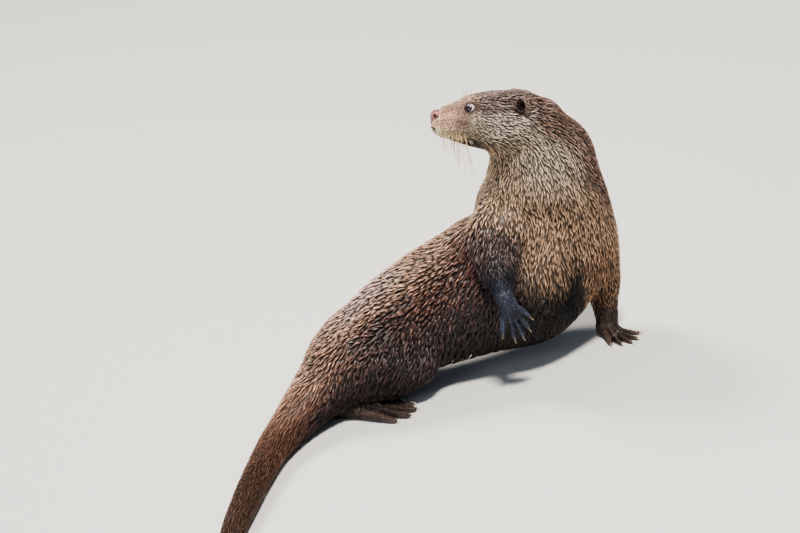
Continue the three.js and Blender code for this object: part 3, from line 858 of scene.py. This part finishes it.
def make_look(name):
    """The material of a look, whose colour is the mesh's painted colour times its tint."""
    recipe = LOOKS[name]
    look, tree, shader = material(name, recipe["roughness"])
    shader.inputs["Specular IOR Level"].default_value = recipe["specular"]
    scale, detail, *ends = recipe["tint"]
    painted, shaded = tree.nodes.new("ShaderNodeAttribute"), tree.nodes.new("ShaderNodeVectorMath")
    painted.attribute_name = "coat"
    shaded.operation = "SCALE"
    tree.links.new(painted.outputs["Color"], shaded.inputs[0])
    tree.links.new(ranged(tree, noise(tree, scale, detail), *ends), shaded.inputs["Scale"])
    tree.links.new(shaded.outputs["Vector"], shader.inputs["Base Color"])
    if "wear" in recipe:
        scale, *ends = recipe["wear"]
        tree.links.new(ranged(tree, noise(tree, scale), *ends), shader.inputs["Roughness"])
    if "grain" in recipe:
        scale, detail, *ends = recipe["grain"]
        bumped(tree, shader, noise(tree, scale, detail), *ends)
    if "varnish" in recipe:
        for socket, value in zip(("Coat Weight", "Coat Roughness"), recipe["varnish"]):
            shader.inputs[socket].default_value = value
    return look


# ---- The skin ----
FLESH = [
    "head", "jaw", "neck", "ear_left", "ear_right", "trunk_front", "trunk_rear", "tail_base", "tail_tip",
    "foreleg_left", "foreleg_right", "forepaw_left", "forepaw_right",
    "hindleg_left", "hindleg_right", "hindpaw_left", "hindpaw_right",
]
GRID = {"low": (-268, -368, -15), "high": (268, 152, 325), "coarse": 10, "halvings": 3, "flatness": 0.01}
LONGEST_EDGE = {"body": 7.0, "head": 2.4, "face": 1.5, "eyes": 0.85}


def wanted_edge(points):
    """The longest edge allowed at points of the skin."""
    edge = np.full(len(points), LONGEST_EDGE["body"])
    q = head_place.inward(points)
    edge[np.linalg.norm(q - (30, 0, 0), axis=1) < 80] = LONGEST_EDGE["head"]
    edge[(q[:, 0] > 40) & (np.linalg.norm(q, axis=1) < 120)] = LONGEST_EDGE["face"]
    for side in SIDES.values():
        edge[np.linalg.norm(q - mirrored(EYE["at"], side), axis=1) < 9.5] = LONGEST_EDGE["eyes"]
    return edge


def make_skin():
    points, faces = meshed(skin, *GRID.values())
    for times in (1, 1, 2):
        points, faces = refined(points, faces, wanted_edge)
        points, normals = settle(skin, points, times)
    return points, faces, normals


skin_points, skin_faces, skin_normals = make_skin()
found = readings(skin_points)
skin_colours = marking(skin_points, found)


# ---- The coat: pointed tufts that lie over one another and follow the skin ----
LIES = {"body": (-1, 0.3), "thigh": (-1, 1.3), "shank": (1, 0.2)}  # way along the stations, and the droop
HANG = {"droop": 1.3, "back": (0.5, -0.3), "places": (7, 8.6, 11, 12.4)}  # on the lower flanks
NEARBY = 6.0  # forms this far apart share the coat between them
TUFTS = np.array([  # depth of the coat, and the length and width of its tufts
    (0.7, 3.6, 0.95), (1.0, 4.6, 1.15), (1.4, 5.6, 1.4), (2.0, 7.4, 1.75), (2.6, 8.2, 1.85),
    (3.0, 9, 1.95), (3.6, 10.6, 2.25), (4.2, 12.8, 2.8),
])
SPACING = (0.44, 0.84)  # room from one tuft to the next, as shares of its length and its width
CROWD = 4.5  # places tried for each that has room
VARIES = {"length": (0.75, 1.25), "width": (0.7, 1.3)}  # shares of the usual length and width
STRAY = {"wide": (0.16, 30), "narrow": (0.2, 8), "each": 0.12}  # radians off the lie, and a swirl's size
SHALLOWEST = 0.3  # depth of coat that has tufts at all
CLEARANCE = {"floor": 0.2, "nose": 0.8, "lips": 0.5, "nostrils": 2, "lids": 1.3}  # no tufts nearer than this
SPINE = [0, 0.36, 0.74, 1]  # shares of the length, at which a tuft has its root, two more rings and its tip
LIFT = [-0.3, 0.4, 0.85, 1.05]  # height over the skin there, as a share of the coat's depth
GIRTH = [0.6, 1.0, 0.58]  # width at the three rings, as a share of a strand's
RIDGE = 0.5  # height of a strand's ridge, as a share of its width
STRANDS = [(0, 0.58, 1, 1.15), (-0.27, 0.42, 0.86, 0.6), (0.27, 0.42, 0.78, 0.6)]  # off, width, length, and shade: painted shade on the side strands and a painted highlight on the middle one
FAN = [0.8, 1, 0.85, 0.15]  # how far the strands go off a tuft's middle along the spine
SHADE = [0.12, 0.3, 0.92, 1.8]  # painted light of a strand at its rings and its tip: painted shade towards the root, a painted highlight at the tip
EDGE, CREST = 0.34, 1.6  # painted shade on a strand's edges and a painted highlight on its ridge
STRAND_VARIES = {"off": 0.06, "length": (0.88, 1.08), "shade": 0.2}
TUFT_TINT = {"near": (0.14, 14), "each": 0.34, "tail": 0.5}  # random tone by place and of each tuft, spread so that some tufts carry bright painted glints, and share lost on the tail
PALE_CONTRAST = 0.5  # the painted shades and highlights go deeper by this where the coat is pale
BRIGHTEST = 0.97  # no hair is brighter than white
PAINTED_SHADE_UNDER_COAT = 0.22  # painted shade of the skin under a deep coat
DEEP = (0.4, 1.6)  # depths of coat between which these painted shades set in
# On the tail, tufts are longer and narrower, stray less and have less contrast.
TAIL_TUFTS = {"longer": 0.7, "slimmer": 0.2, "calmer": 0.75, "flatter": 0.15, "places": (7.6, 5.8)}
PATCH = 0.003  # side of a tuft's patch on its piece's unwrap


def on_both(*parts):
    """The forms of these parts on both sides, each over its whole length."""
    return [(f"{part}_{side}", -np.inf, np.inf) for part in parts for side in SIDES]


COAT_PIECES = {  # each piece's slot and its forms, with the places along them where it starts and ends
    "coat_head": ("coat_pale", [("head", -np.inf, np.inf)]),
    "coat_neck": ("coat", [("body", NECK_BASE - 0.4, SKULL_BASE + 1)]),
    "coat_chest": ("coat", [("body", CHEST - 1.1, NECK_BASE - 0.4)]),
    "coat_loin": ("coat", [("body", WAIST - 1.6, CHEST - 1.1)]),
    "coat_rump": ("coat", [("body", TAIL_ROOT + 0.3, WAIST - 1.6)]),
    "coat_tail": ("coat_tail", [("body", -1, TAIL_ROOT + 0.3)]),
    "coat_forelegs": ("coat", on_both("foreleg", "forepaw")),
    "coat_thighs": ("coat", on_both("thigh")),
    "coat_hindfeet": ("coat", on_both("shank", "hindpaw")),
}


def coat_at(points, normals, found):
    """The way that the coat lies at points of the skin, and its depth."""
    lie, depth, total = np.zeros_like(points), np.zeros(len(points)), np.zeros(len(points))
    for name, (distance, place, around, along, fur) in found.items():
        way, droop = LIES.get(name.split("_")[0], (1, 0))
        if name == "body":
            first, full, fading, last = HANG["places"]
            hanging = ramp(place, first, full) * ramp(place, last, fading)
            hanging *= ramp(np.cos(around), *HANG["back"])
            droop = droop * ramp(place, TAIL_ROOT, TAIL_ROOT + 2) + HANG["droop"] * hanging
        weight = np.exp(-np.maximum(distance, 0) / NEARBY) * (distance < FAR)
        down = np.asarray(droop * np.ones(len(points)))[:, None] * -np.array(UP)
        lie += weight[:, None] * (along * way + down)
        depth += weight * fur
        total += weight
    lie -= normals * dot(lie, normals)[:, None]
    return unit(lie), depth / total


def turned(directions, normals, angles):
    """Directions turned about normals by angles in radians."""
    across = np.cross(normals, directions)
    return directions * np.cos(angles)[:, None] + across * np.sin(angles)[:, None]


def is_bare(points):
    """Whether no tuft may start at or cross each point: in the eyes and the mouth and on the nose."""
    q = head_place.inward(points)
    bare = lump(q, NOSE) < CLEARANCE["nose"]
    bare |= (np.abs(lip_gap(q)) < CLEARANCE["lips"]) & (q[:, 0] > LIP_LINE[0][0]) & (q[:, 0] < 100)
    for side in SIDES.values():
        opening, out = eye_opening(q, side)
        bare |= lump(q, NOSTRIL_PIT, side) < CLEARANCE["nostrils"]
        near = np.linalg.norm(q - mirrored(EYE["at"], side), axis=1) < 10
        bare |= near & (opening < CLEARANCE["lids"]) & (out > 0)
    return bare


def tuft_sizes(depth):
    """Length and width of the tufts in a coat of a depth."""
    return tuple(np.interp(depth, TUFTS[:, 0], column) for column in TUFTS.T[1:])


def scattered(points, faces, normals, lies, gaps):
    """Random points on a mesh, with normals, many times more than the gaps leave room for."""
    a, b, c = (points[faces[:, i]] for i in range(3))
    area = np.linalg.norm(np.cross(b - a, c - a), axis=1) / 2
    share = area / (gaps[0] * gaps[1])[faces].mean(1)
    chosen = RNG.choice(len(faces), int(share.sum() * CROWD), p=share / share.sum())
    mixed = RNG.dirichlet((1, 1, 1), len(chosen))

    def at(table):
        return np.einsum("ni,nij->nj", mixed, table[faces[chosen]])

    return at(points), unit(at(normals)), unit(at(lies)), at(np.stack(gaps, 1)).T


def thinned(points, lies, gaps):
    """The points that are left when each has its own oval of room, long along the lie of the coat."""
    tree = KDTree(len(points))
    for i, point in enumerate(points):
        tree.insert(point, i)
    tree.balance()
    alive = bytearray(b"\1") * len(points)
    kept = []
    for i, (point, lie, along, across) in enumerate(zip(map(Vector, points), map(Vector, lies), *gaps)):
        if not alive[i]:
            continue
        kept.append(i)
        for other, j, gap in tree.find_range(point, max(along, across)):
            if j > i and alive[j]:
                step = (other - point).dot(lie)
                if step * step / along**2 + (gap * gap - step * step) / across**2 < 1:
                    alive[j] = 0
    return np.array(kept)


def spines(roots, normals, length, stray):
    """Each tuft's path over the skin, with the normals along it. Stray is how far it may leave the lie."""
    (wide, wide_size), (narrow, narrow_size) = STRAY["wide"], STRAY["narrow"]
    swirl = wide * wobble(roots, wide_size, 2) + narrow * wobble(roots, narrow_size, 3)
    swirl = stray * (swirl + RNG.normal(0, STRAY["each"], len(roots)))
    paths, ups = [roots], [normals]
    for share in np.diff(SPINE):
        points, normals = paths[-1], ups[-1]
        lie, _ = coat_at(points, normals, readings(points))
        step = turned(lie, normals, swirl) * (length * share)[:, None]
        points, normals = settle(skin, points + step, 1, limit=4)
        paths.append(points)
        ups.append(normals)
    return np.stack(paths, 1), np.stack(ups, 1)


def strand_points(paths, ups, width, depth, off, share, reach):
    """Points of one strand of every tuft, three to a ring and then the tip."""
    lift = np.array(LIFT) * depth[:, None]
    middle = paths[:, :1] + (paths - paths[:, :1]) * reach[:, None, None] + ups * lift[..., None]
    side = unit(np.cross(ups, unit(np.gradient(middle, axis=1))))
    middle = middle + side * (off * width)[:, None, None] * np.array(FAN)[:, None]
    half = (share * width)[:, None, None] * np.array([*GIRTH, 0])[:, None] / 2
    rings = np.stack([middle - side * half, middle + side * half, middle + ups * half * 2 * RIDGE], 2)
    points = np.concatenate([rings[:, :-1].reshape(len(paths), -1, 3), middle[:, -1:]], 1)
    points[..., 2] = np.maximum(points[..., 2], SOLE + 0.05)
    return points


def strand_faces():
    faces = [(0, 2, 1)]
    for ring in range(len(GIRTH) - 1):
        for i in range(3):
            a, b = ring * 3 + i, ring * 3 + (i + 1) % 3
            faces += [(a, b, b + 3), (a, b + 3, a + 3)]
    last = 3 * (len(GIRTH) - 1)
    faces += [(last + i, last + (i + 1) % 3, last + 3) for i in range(3)]
    return np.array(faces)


def tuft_meshes(paths, ups, width, depth):
    """The points of every tuft, the painted shades of its strands, and the faces of one tuft."""
    points, tints, count = [], [], len(paths)
    for off, share, reach, shade in STRANDS:
        off = off + RNG.normal(0, STRAND_VARIES["off"], count)
        reach = reach * RNG.uniform(*STRAND_VARIES["length"], count)
        points.append(strand_points(paths, ups, width, depth, off, share, reach))
        tint = shade * np.exp(RNG.normal(0, STRAND_VARIES["shade"], (count, 1)))
        tints.append(np.repeat(tint, points[-1].shape[1], 1))
    each = points[0].shape[1]
    faces = [strand_faces() + each * i for i in range(len(STRANDS))]
    return np.concatenate(points, 1), np.concatenate(tints, 1), np.concatenate(faces)


def stretched(values):
    return (values - values.min()) / max(np.ptp(values), 1e-6)


def patches(place, around):
    """A small patch for each tuft, where its root is on the unwrap, with the tuft drawn in it."""
    corner = np.stack([stretched(place), stretched(around)], 1) * (1 - PATCH)
    strand = [(share, side) for share in SPINE[:3] for side in (0, 1, 0.5)] + [(1, 0.5)]
    lanes = len(STRANDS)
    drawn = [(share, (lane + side) / lanes) for lane in range(lanes) for share, side in strand]
    return corner[:, None] + np.array(drawn) * PATCH


def owners(found):
    """The index of the form that each point of the skin belongs to."""
    return np.argmin(np.stack([table[0] for table in found.values()]), axis=0)


def tuft_roots(points, faces, normals, found):
    """Where on the skin the tufts start, and the normals there."""
    lies, depth = coat_at(points, normals, found)
    gaps = [size * share for size, share in zip(tuft_sizes(depth), SPACING)]
    roots, ups, lies, gaps = scattered(points, faces, normals, lies, gaps)
    free = ~is_bare(roots)
    roots, ups = roots[free], ups[free]
    kept = thinned(roots, lies[free], gaps[:, free])
    return roots[kept], ups[kept]


def tuft_colours(roots, found, depth, strand_tints, on_tail):
    """The colour at each point of every tuft, with painted shade at its root and edges and a painted
    highlight at its tip and ridges.
    """
    near, size = TUFT_TINT["near"]
    tint = near * wobble(roots, size, 4) + RNG.normal(0, TUFT_TINT["each"], len(roots))
    tint = np.exp(tint * (1 - TUFT_TINT["tail"] * on_tail))
    shade = np.tile(np.append(np.outer(SHADE[:3], (EDGE, EDGE, CREST)), SHADE[3]), len(STRANDS))
    contrast = ramp(depth, *DEEP) * (1 - TAIL_TUFTS["flatter"] * on_tail)
    shade = 1 + (strand_tints * shade - 1) * contrast[:, None]
    colours = marking(roots, found)
    shade **= 1 + PALE_CONTRAST * colours.mean(1)[:, None]
    colours = colours[:, None] * (tint[:, None] * shade)[..., None]
    return colours / np.maximum(colours.max(-1, keepdims=True) / BRIGHTEST, 1)


def make_coat(points, faces, normals, found):
    roots, ups = tuft_roots(points, faces, normals, found)
    found, count = readings(roots), len(roots)
    _, depth = coat_at(roots, ups, found)
    owner, names = owners(found), list(found)
    on_tail = (owner == names.index("body")) * ramp(found["body"][1], *TAIL_TUFTS["places"])
    length, width = tuft_sizes(depth)
    length = length * RNG.uniform(*VARIES["length"], count) * (1 + TAIL_TUFTS["longer"] * on_tail)
    width = width * RNG.uniform(*VARIES["width"], count) * (1 - TAIL_TUFTS["slimmer"] * on_tail)
    paths, normals = spines(roots, ups, length, 1 - TAIL_TUFTS["calmer"] * on_tail)
    clear = (depth > SHALLOWEST) & ~is_bare(paths.reshape(-1, 3)).reshape(count, -1).any(1)
    clear &= paths[:, -1, 2] > SOLE + CLEARANCE["floor"]
    tufts, strand_tints, tuft_faces = tuft_meshes(paths, normals, width, depth)
    colours = tuft_colours(roots, found, depth, strand_tints, on_tail)
    look = make_look("wet_coat")
    for name, (slot, forms) in COAT_PIECES.items():
        place, around, mine = np.zeros(count), np.zeros(count), np.zeros(count, bool)
        for band, (form, first, last) in enumerate(forms):
            _, along, turn, *_ = found[form]
            own = clear & (owner == names.index(form)) & (along >= first) & (along < last)
            if own.any():
                place[own], around[own] = band + stretched(along[own]), stretched(turn[own])
            mine |= own
        number = np.arange(mine.sum())[:, None, None] * tufts.shape[1]
        piece(
            name,
            tufts[mine].reshape(-1, 3),
            (tuft_faces + number).reshape(-1, 3),
            look,
            slot,
            colours[mine].reshape(-1, 3),
            patches(place[mine], around[mine]).reshape(-1, 2),
        )


# ---- Eyes, nose, claws and whiskers ----
GAZE = (0.6, 0.78, 0.2)  # the iris is turned further forwards than the slit between the lids
IRIS = {"pupil": 17, "iris": 40, "cornea": 0.4}  # degrees from the gaze, and the rise of the cornea
PUPIL, IRIS_BROWN, IRIS_EDGE = paint(10, 8, 10), paint(62, 38, 38), paint(26, 15, 18)
SCLERA = paint(196, 172, 178)
NOSE_BLEND = {"rim": 2.5, "pit": 1.0, "wing": 0.6, "groove": 1.2}
NOSE_GROOVE = {"at": (99.5, 0, -3.5), "radii": (4, 0.5, 6)}
HORN, HORN_TIP = paint(92, 78, 66), paint(206, 188, 160)
WHISKER, FRINGE, FOLLICLE = paint(178, 148, 98), paint(228, 214, 190), paint(44, 24, 20)


def ball(rings, sides):
    """A unit ball of triangles, with its poles on X."""
    angles = np.linspace(0, math.pi, rings + 1)[1:-1]
    turns = np.arange(sides) * math.tau / sides
    ring = np.stack([np.zeros(sides), np.cos(turns), np.sin(turns)], 1)
    points = np.vstack([(math.cos(a), 0, 0) + ring * math.sin(a) for a in angles] + [(1, 0, 0), (-1, 0, 0)])
    return points, ring_faces(len(angles), sides)[:, ::-1]


def make_eye(name, side):
    """A ball with a clear bulge over the iris, whose colours are rings round the gaze."""
    points, faces = ball(48, 64)
    angle = np.degrees(np.arccos(np.clip(points[:, 0], -1, 1)))
    turn = np.arctan2(points[:, 2], points[:, 1])
    streaks = 0.8 + 0.2 * np.sin(turn * 23) * np.sin(turn * 9 + 1) + 0.3 * ramp(angle, 28, 16)
    colours = layered(
        PUPIL,
        (IRIS_BROWN * streaks[:, None], ramp(angle, IRIS["pupil"] - 1, IRIS["pupil"] + 1)),
        (IRIS_EDGE, ramp(angle, IRIS["iris"] - 5, IRIS["iris"] - 1)),
        (SCLERA, ramp(angle, IRIS["iris"], IRIS["iris"] + 4)),
    )
    points = points * (EYE["radius"] - 0.1 + IRIS["cornea"] * ramp(angle, IRIS["iris"] + 6, 4))[:, None]
    socket = Place(mirrored(EYE["at"], side), mirrored(GAZE, side), UP)
    points = head_place.outward(socket.outward(points))
    eye = piece(name, points, faces, make_look("eye"), "eye_gloss", colours)
    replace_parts(eye, name)


def nose_form(points):
    q = head_place.inward(points)
    form = lump(q, NOSE)
    for side in SIDES.values():
        form = blend(form, lump(q, NOSTRIL_RIM, side), NOSE_BLEND["rim"])
        form = carve(form, lump(q, NOSTRIL_PIT, side), NOSE_BLEND["pit"])
        form = blend(form, lump(q, NOSTRIL_WING, side), NOSE_BLEND["wing"])
    return carve(form, lump(q, NOSE_GROOVE), NOSE_BLEND["groove"])


def make_nose():
    """The bare nose pad, with a comma of a nostril on each side and a groove down the middle."""
    middle = head_place.outward(NOSE["at"])
    points, faces = meshed(nose_form, middle - 15, middle + 15, 2.5, 2)
    points, _ = settle(nose_form, points, 2)
    q = head_place.inward(points)
    pit = np.full(len(q), 9.0)
    for side in SIDES.values():
        pit = np.minimum(pit, lump(q, NOSTRIL_PIT, side))
        pit = np.maximum(pit, 1 - lump(q, NOSTRIL_WING, side))
    colours = mix(mix(NOSE_GREY, NOSE_PINK, ramp(pit, 4.5, 1.5)), NOSE_DARK, ramp(pit, 0.7, -0.2))
    look = make_look("nose_skin")
    tree = look.node_tree
    grain = tree.nodes.new("ShaderNodeTexVoronoi")
    grain.inputs["Scale"].default_value = NOSE_GRAIN["scale"]
    pebbles = grain.outputs["Distance"]
    bumped(tree, tree.nodes["Principled BSDF"], pebbles, NOSE_GRAIN["height"], NOSE_GRAIN["strength"])
    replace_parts(piece("nose_pad", points, faces, look, "nose_skin", colours), "nose")


def make_claws(look):
    """Hooked claws, dark at the root and pale at the tip, in one piece for each paw."""
    for name, paw in FORMS.items():
        if "paw" not in name:
            continue
        meshes, tips = [], []
        for angle, reach in paw.toes:
            path, shares = paw.claw_path(angle, reach)
            radii = CLAW["radius"] * (1 - 0.85 * shares**1.5)
            meshes.append(tube(path, radii, 10, 0.75, paw.place.axes[2]))
            tips.append(np.append(np.repeat(shares[:-1], 10), (0, 1)))
        points, faces = joined(meshes)
        points[:, 2] = np.maximum(points[:, 2], 0.1)
        colours = mix(HORN, HORN_TIP, ramp(np.concatenate(tips), 0.35, 0.9))
        piece(f"claws_{name}", points, faces, look, "paw_skin", colours)


def on_face(spots):
    """The points of the skin at distances along the head, on its sides and at heights."""
    guess = head_place.outward(np.array(spots) * (1, 20, 1))
    points, _ = settle(skin, guess, 6, limit=4)
    return head_place.inward(points)


def hair(root, way, length, droop, radius):
    """A tapering hair from a root in the head's frame, which bends down along its length."""
    shares = np.linspace(0, 1, 8)
    ways = unit(way) * shares[:, None] + np.array(droop) * shares[:, None] ** 2
    path = head_place.outward(root + ways * length)
    return tube(path, radius * (1 - shares) ** 0.7 + 0.02, 4)


def long_whiskers(side):
    """Each hair has its spot on the face, its way, length, droop and thickness."""
    for row in range(3):
        for column in range(6):
            spot = (87 - column * 4.4 - row * 0.8, side, -6.5 - row * 3.4 - column * 1.3)
            way = np.array([0.25 - column * 0.07, side * 0.5, -0.8]) + RNG.normal(0, 0.1, 3)
            yield spot, way, 11 + column * 6.5 + RNG.uniform(-3, 5), (-0.1, -side * 0.2, -0.3), 0.3


def lip_fringe(side):
    for i in range(40):
        x = 97 - i * 1.0 + RNG.uniform(-0.4, 0.4)
        spot = (x, side, float(np.interp(x, *np.transpose(LIP_LINE))) + 1.0 + RNG.uniform(0, 1.4))
        way = np.array([0.45 - i * 0.022, side * 0.3, -0.8]) + RNG.normal(0, 0.14, 3)
        yield spot, way, RNG.uniform(4, 9), (-0.1, -side * 0.2, -0.15), 0.3


def brow_whiskers(side):
    for i in range(4):
        way = np.array([0.05 + 0.12 * i, side * 0.25, 0.95]) + RNG.normal(0, 0.08, 3)
        yield (50 + i * 2.2, side, 19 - i), way, RNG.uniform(12, 21), (-0.15, 0, 0), 0.2
    for i in range(3):
        way = np.array([-0.3, side * 0.75, -0.6]) + RNG.normal(0, 0.1, 3)
        yield (34 + i * 3, side, -18 - i), way, 20, (-0.2, 0, -0.3), 0.2


def follicles(side):
    """Dark stubs in rows over the lip, one for each whisker's root and more between."""
    for row in range(-2, 6):
        for column in range(12 - abs(row) // 2):
            x = 92 - column * 2.9 - row * 0.8 + RNG.uniform(-0.3, 0.3)
            z = 1.5 - row * 2.6 - column * 0.8 + RNG.uniform(-0.3, 0.3)
            yield (x, side, z), (-0.6, side * 0.7, -0.3), 2.6, (0, 0, 0), 0.75


def make_whiskers(look):
    for name, kinds, colour in (
        ("whiskers", (long_whiskers, brow_whiskers), WHISKER),
        ("lip_fringe", (lip_fringe,), FRINGE),
        ("follicles", (follicles,), FOLLICLE),
    ):
        hairs = [kept for kind in kinds for side in SIDES.values() for kept in kind(side)]
        roots = on_face([spot for spot, *_ in hairs])
        points, faces = joined([hair(root, *rest) for root, (_, *rest) in zip(roots, hairs)])
        piece(name, points, faces, look, "coat_pale", np.tile(colour, (len(points), 1)))


# The skin under the coat is darkened with painted shade, deeper where the coat is deep and pale.
under = 1 - (1 - PAINTED_SHADE_UNDER_COAT) * ramp(coat_at(skin_points, skin_normals, found)[1], *DEEP)[:, None]
under **= 1 + PALE_CONTRAST * skin_colours.mean(1)[:, None]
skin_piece = piece("skin", skin_points, skin_faces, make_look("wet_skin"), "coat", skin_colours * under)
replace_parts(skin_piece, *FLESH)
make_coat(skin_points, skin_faces, skin_normals, found)
for name, side in SIDES.items():
    make_eye(f"eye_{name}", side)
make_nose()
make_claws(make_look("claw"))
make_whiskers(make_look("whisker"))


# ---- Camera, light and floor ----
CAMERA = {"height": 22, "roll": 13, "away": 4200, "looks_at": (0, 60, 140), "lens": 175}
FLOOR = {"side": 30, "colour": (0.54, 0.53, 0.505, 1), "roughness": 0.8}
LIGHTS = {  # in metres: where each is and aims, its size, and its power and colour
    "key": ((0.6, -0.9, 2.9), (0, 0.05, 0.1), 0.5, 180, (1.0, 0.95, 0.88)),
    "rim": ((-0.9, 1.7, 2.2), (0, 0.05, 0.15), 0.9, 84, (1.0, 0.93, 0.84)),
    "front": ((-1.8, -2.0, 1.5), (0, 0, 0.15), 1.6, 20, (0.82, 0.9, 1.0)),
}
SKY = {"Color": (0.68, 0.78, 0.95, 1), "Strength": 0.4}


def make_camera():
    """The photo's view: from the front and above, rolled so that the image's up leans to the left."""
    height, roll = math.radians(CAMERA["height"]), math.radians(CAMERA["roll"])
    ahead = Vector((0, math.cos(height), -math.sin(height)))
    level, upright = Vector((1, 0, 0)), Vector((0, math.sin(height), math.cos(height)))
    right = math.cos(roll) * level - math.sin(roll) * upright
    up = math.sin(roll) * level + math.cos(roll) * upright
    data = bpy.data.cameras.new("camera")
    data.lens, data.sensor_width = CAMERA["lens"], 36
    data.clip_end = 100
    camera = bpy.data.objects.new("camera", data)
    bpy.context.collection.objects.link(camera)
    at = (Vector(CAMERA["looks_at"]) + Vector(SHIFT) - ahead * CAMERA["away"]) * MM
    camera.matrix_world = Matrix.Translation(at) @ Matrix((right, up, -ahead)).transposed().to_4x4()
    bpy.context.scene.camera = camera


def make_floor():
    look, _, shader = material("floor", FLOOR["roughness"])
    shader.inputs["Base Color"].default_value = FLOOR["colour"]
    bpy.ops.mesh.primitive_plane_add(size=FLOOR["side"], location=(0, 0, 0))
    floor = bpy.context.object
    floor.name = "floor"
    floor.data.materials.append(look)
    floor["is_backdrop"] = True


def area_light(name, at, aim, size, power, colour):
    data = bpy.data.lights.new(name, "AREA")
    data.shape, data.size, data.energy, data.color = "DISK", size, power, colour
    light = bpy.data.objects.new(name, data)
    bpy.context.collection.objects.link(light)
    light.location = at
    light.rotation_mode = "QUATERNION"
    light.rotation_quaternion = (Vector(aim) - Vector(at)).to_track_quat("-Z", "Y")


def make_light():
    """A warm key from above on the right, a rim from behind, and a cool fill from the left and the sky."""
    for name, settings in LIGHTS.items():
        area_light(name, *settings)
    world = bpy.data.worlds.new("studio")
    world.use_nodes = True
    for socket, value in SKY.items():
        world.node_tree.nodes["Background"].inputs[socket].default_value = value
    bpy.context.scene.world = world
    bpy.context.scene.view_settings.look = "AgX - Medium High Contrast"


make_camera()
make_floor()
make_light()

boxes = {"cad": CAD_BOX, "visual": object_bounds()}
{name: [list(corner) for corner in box] for name, box in boxes.items()}
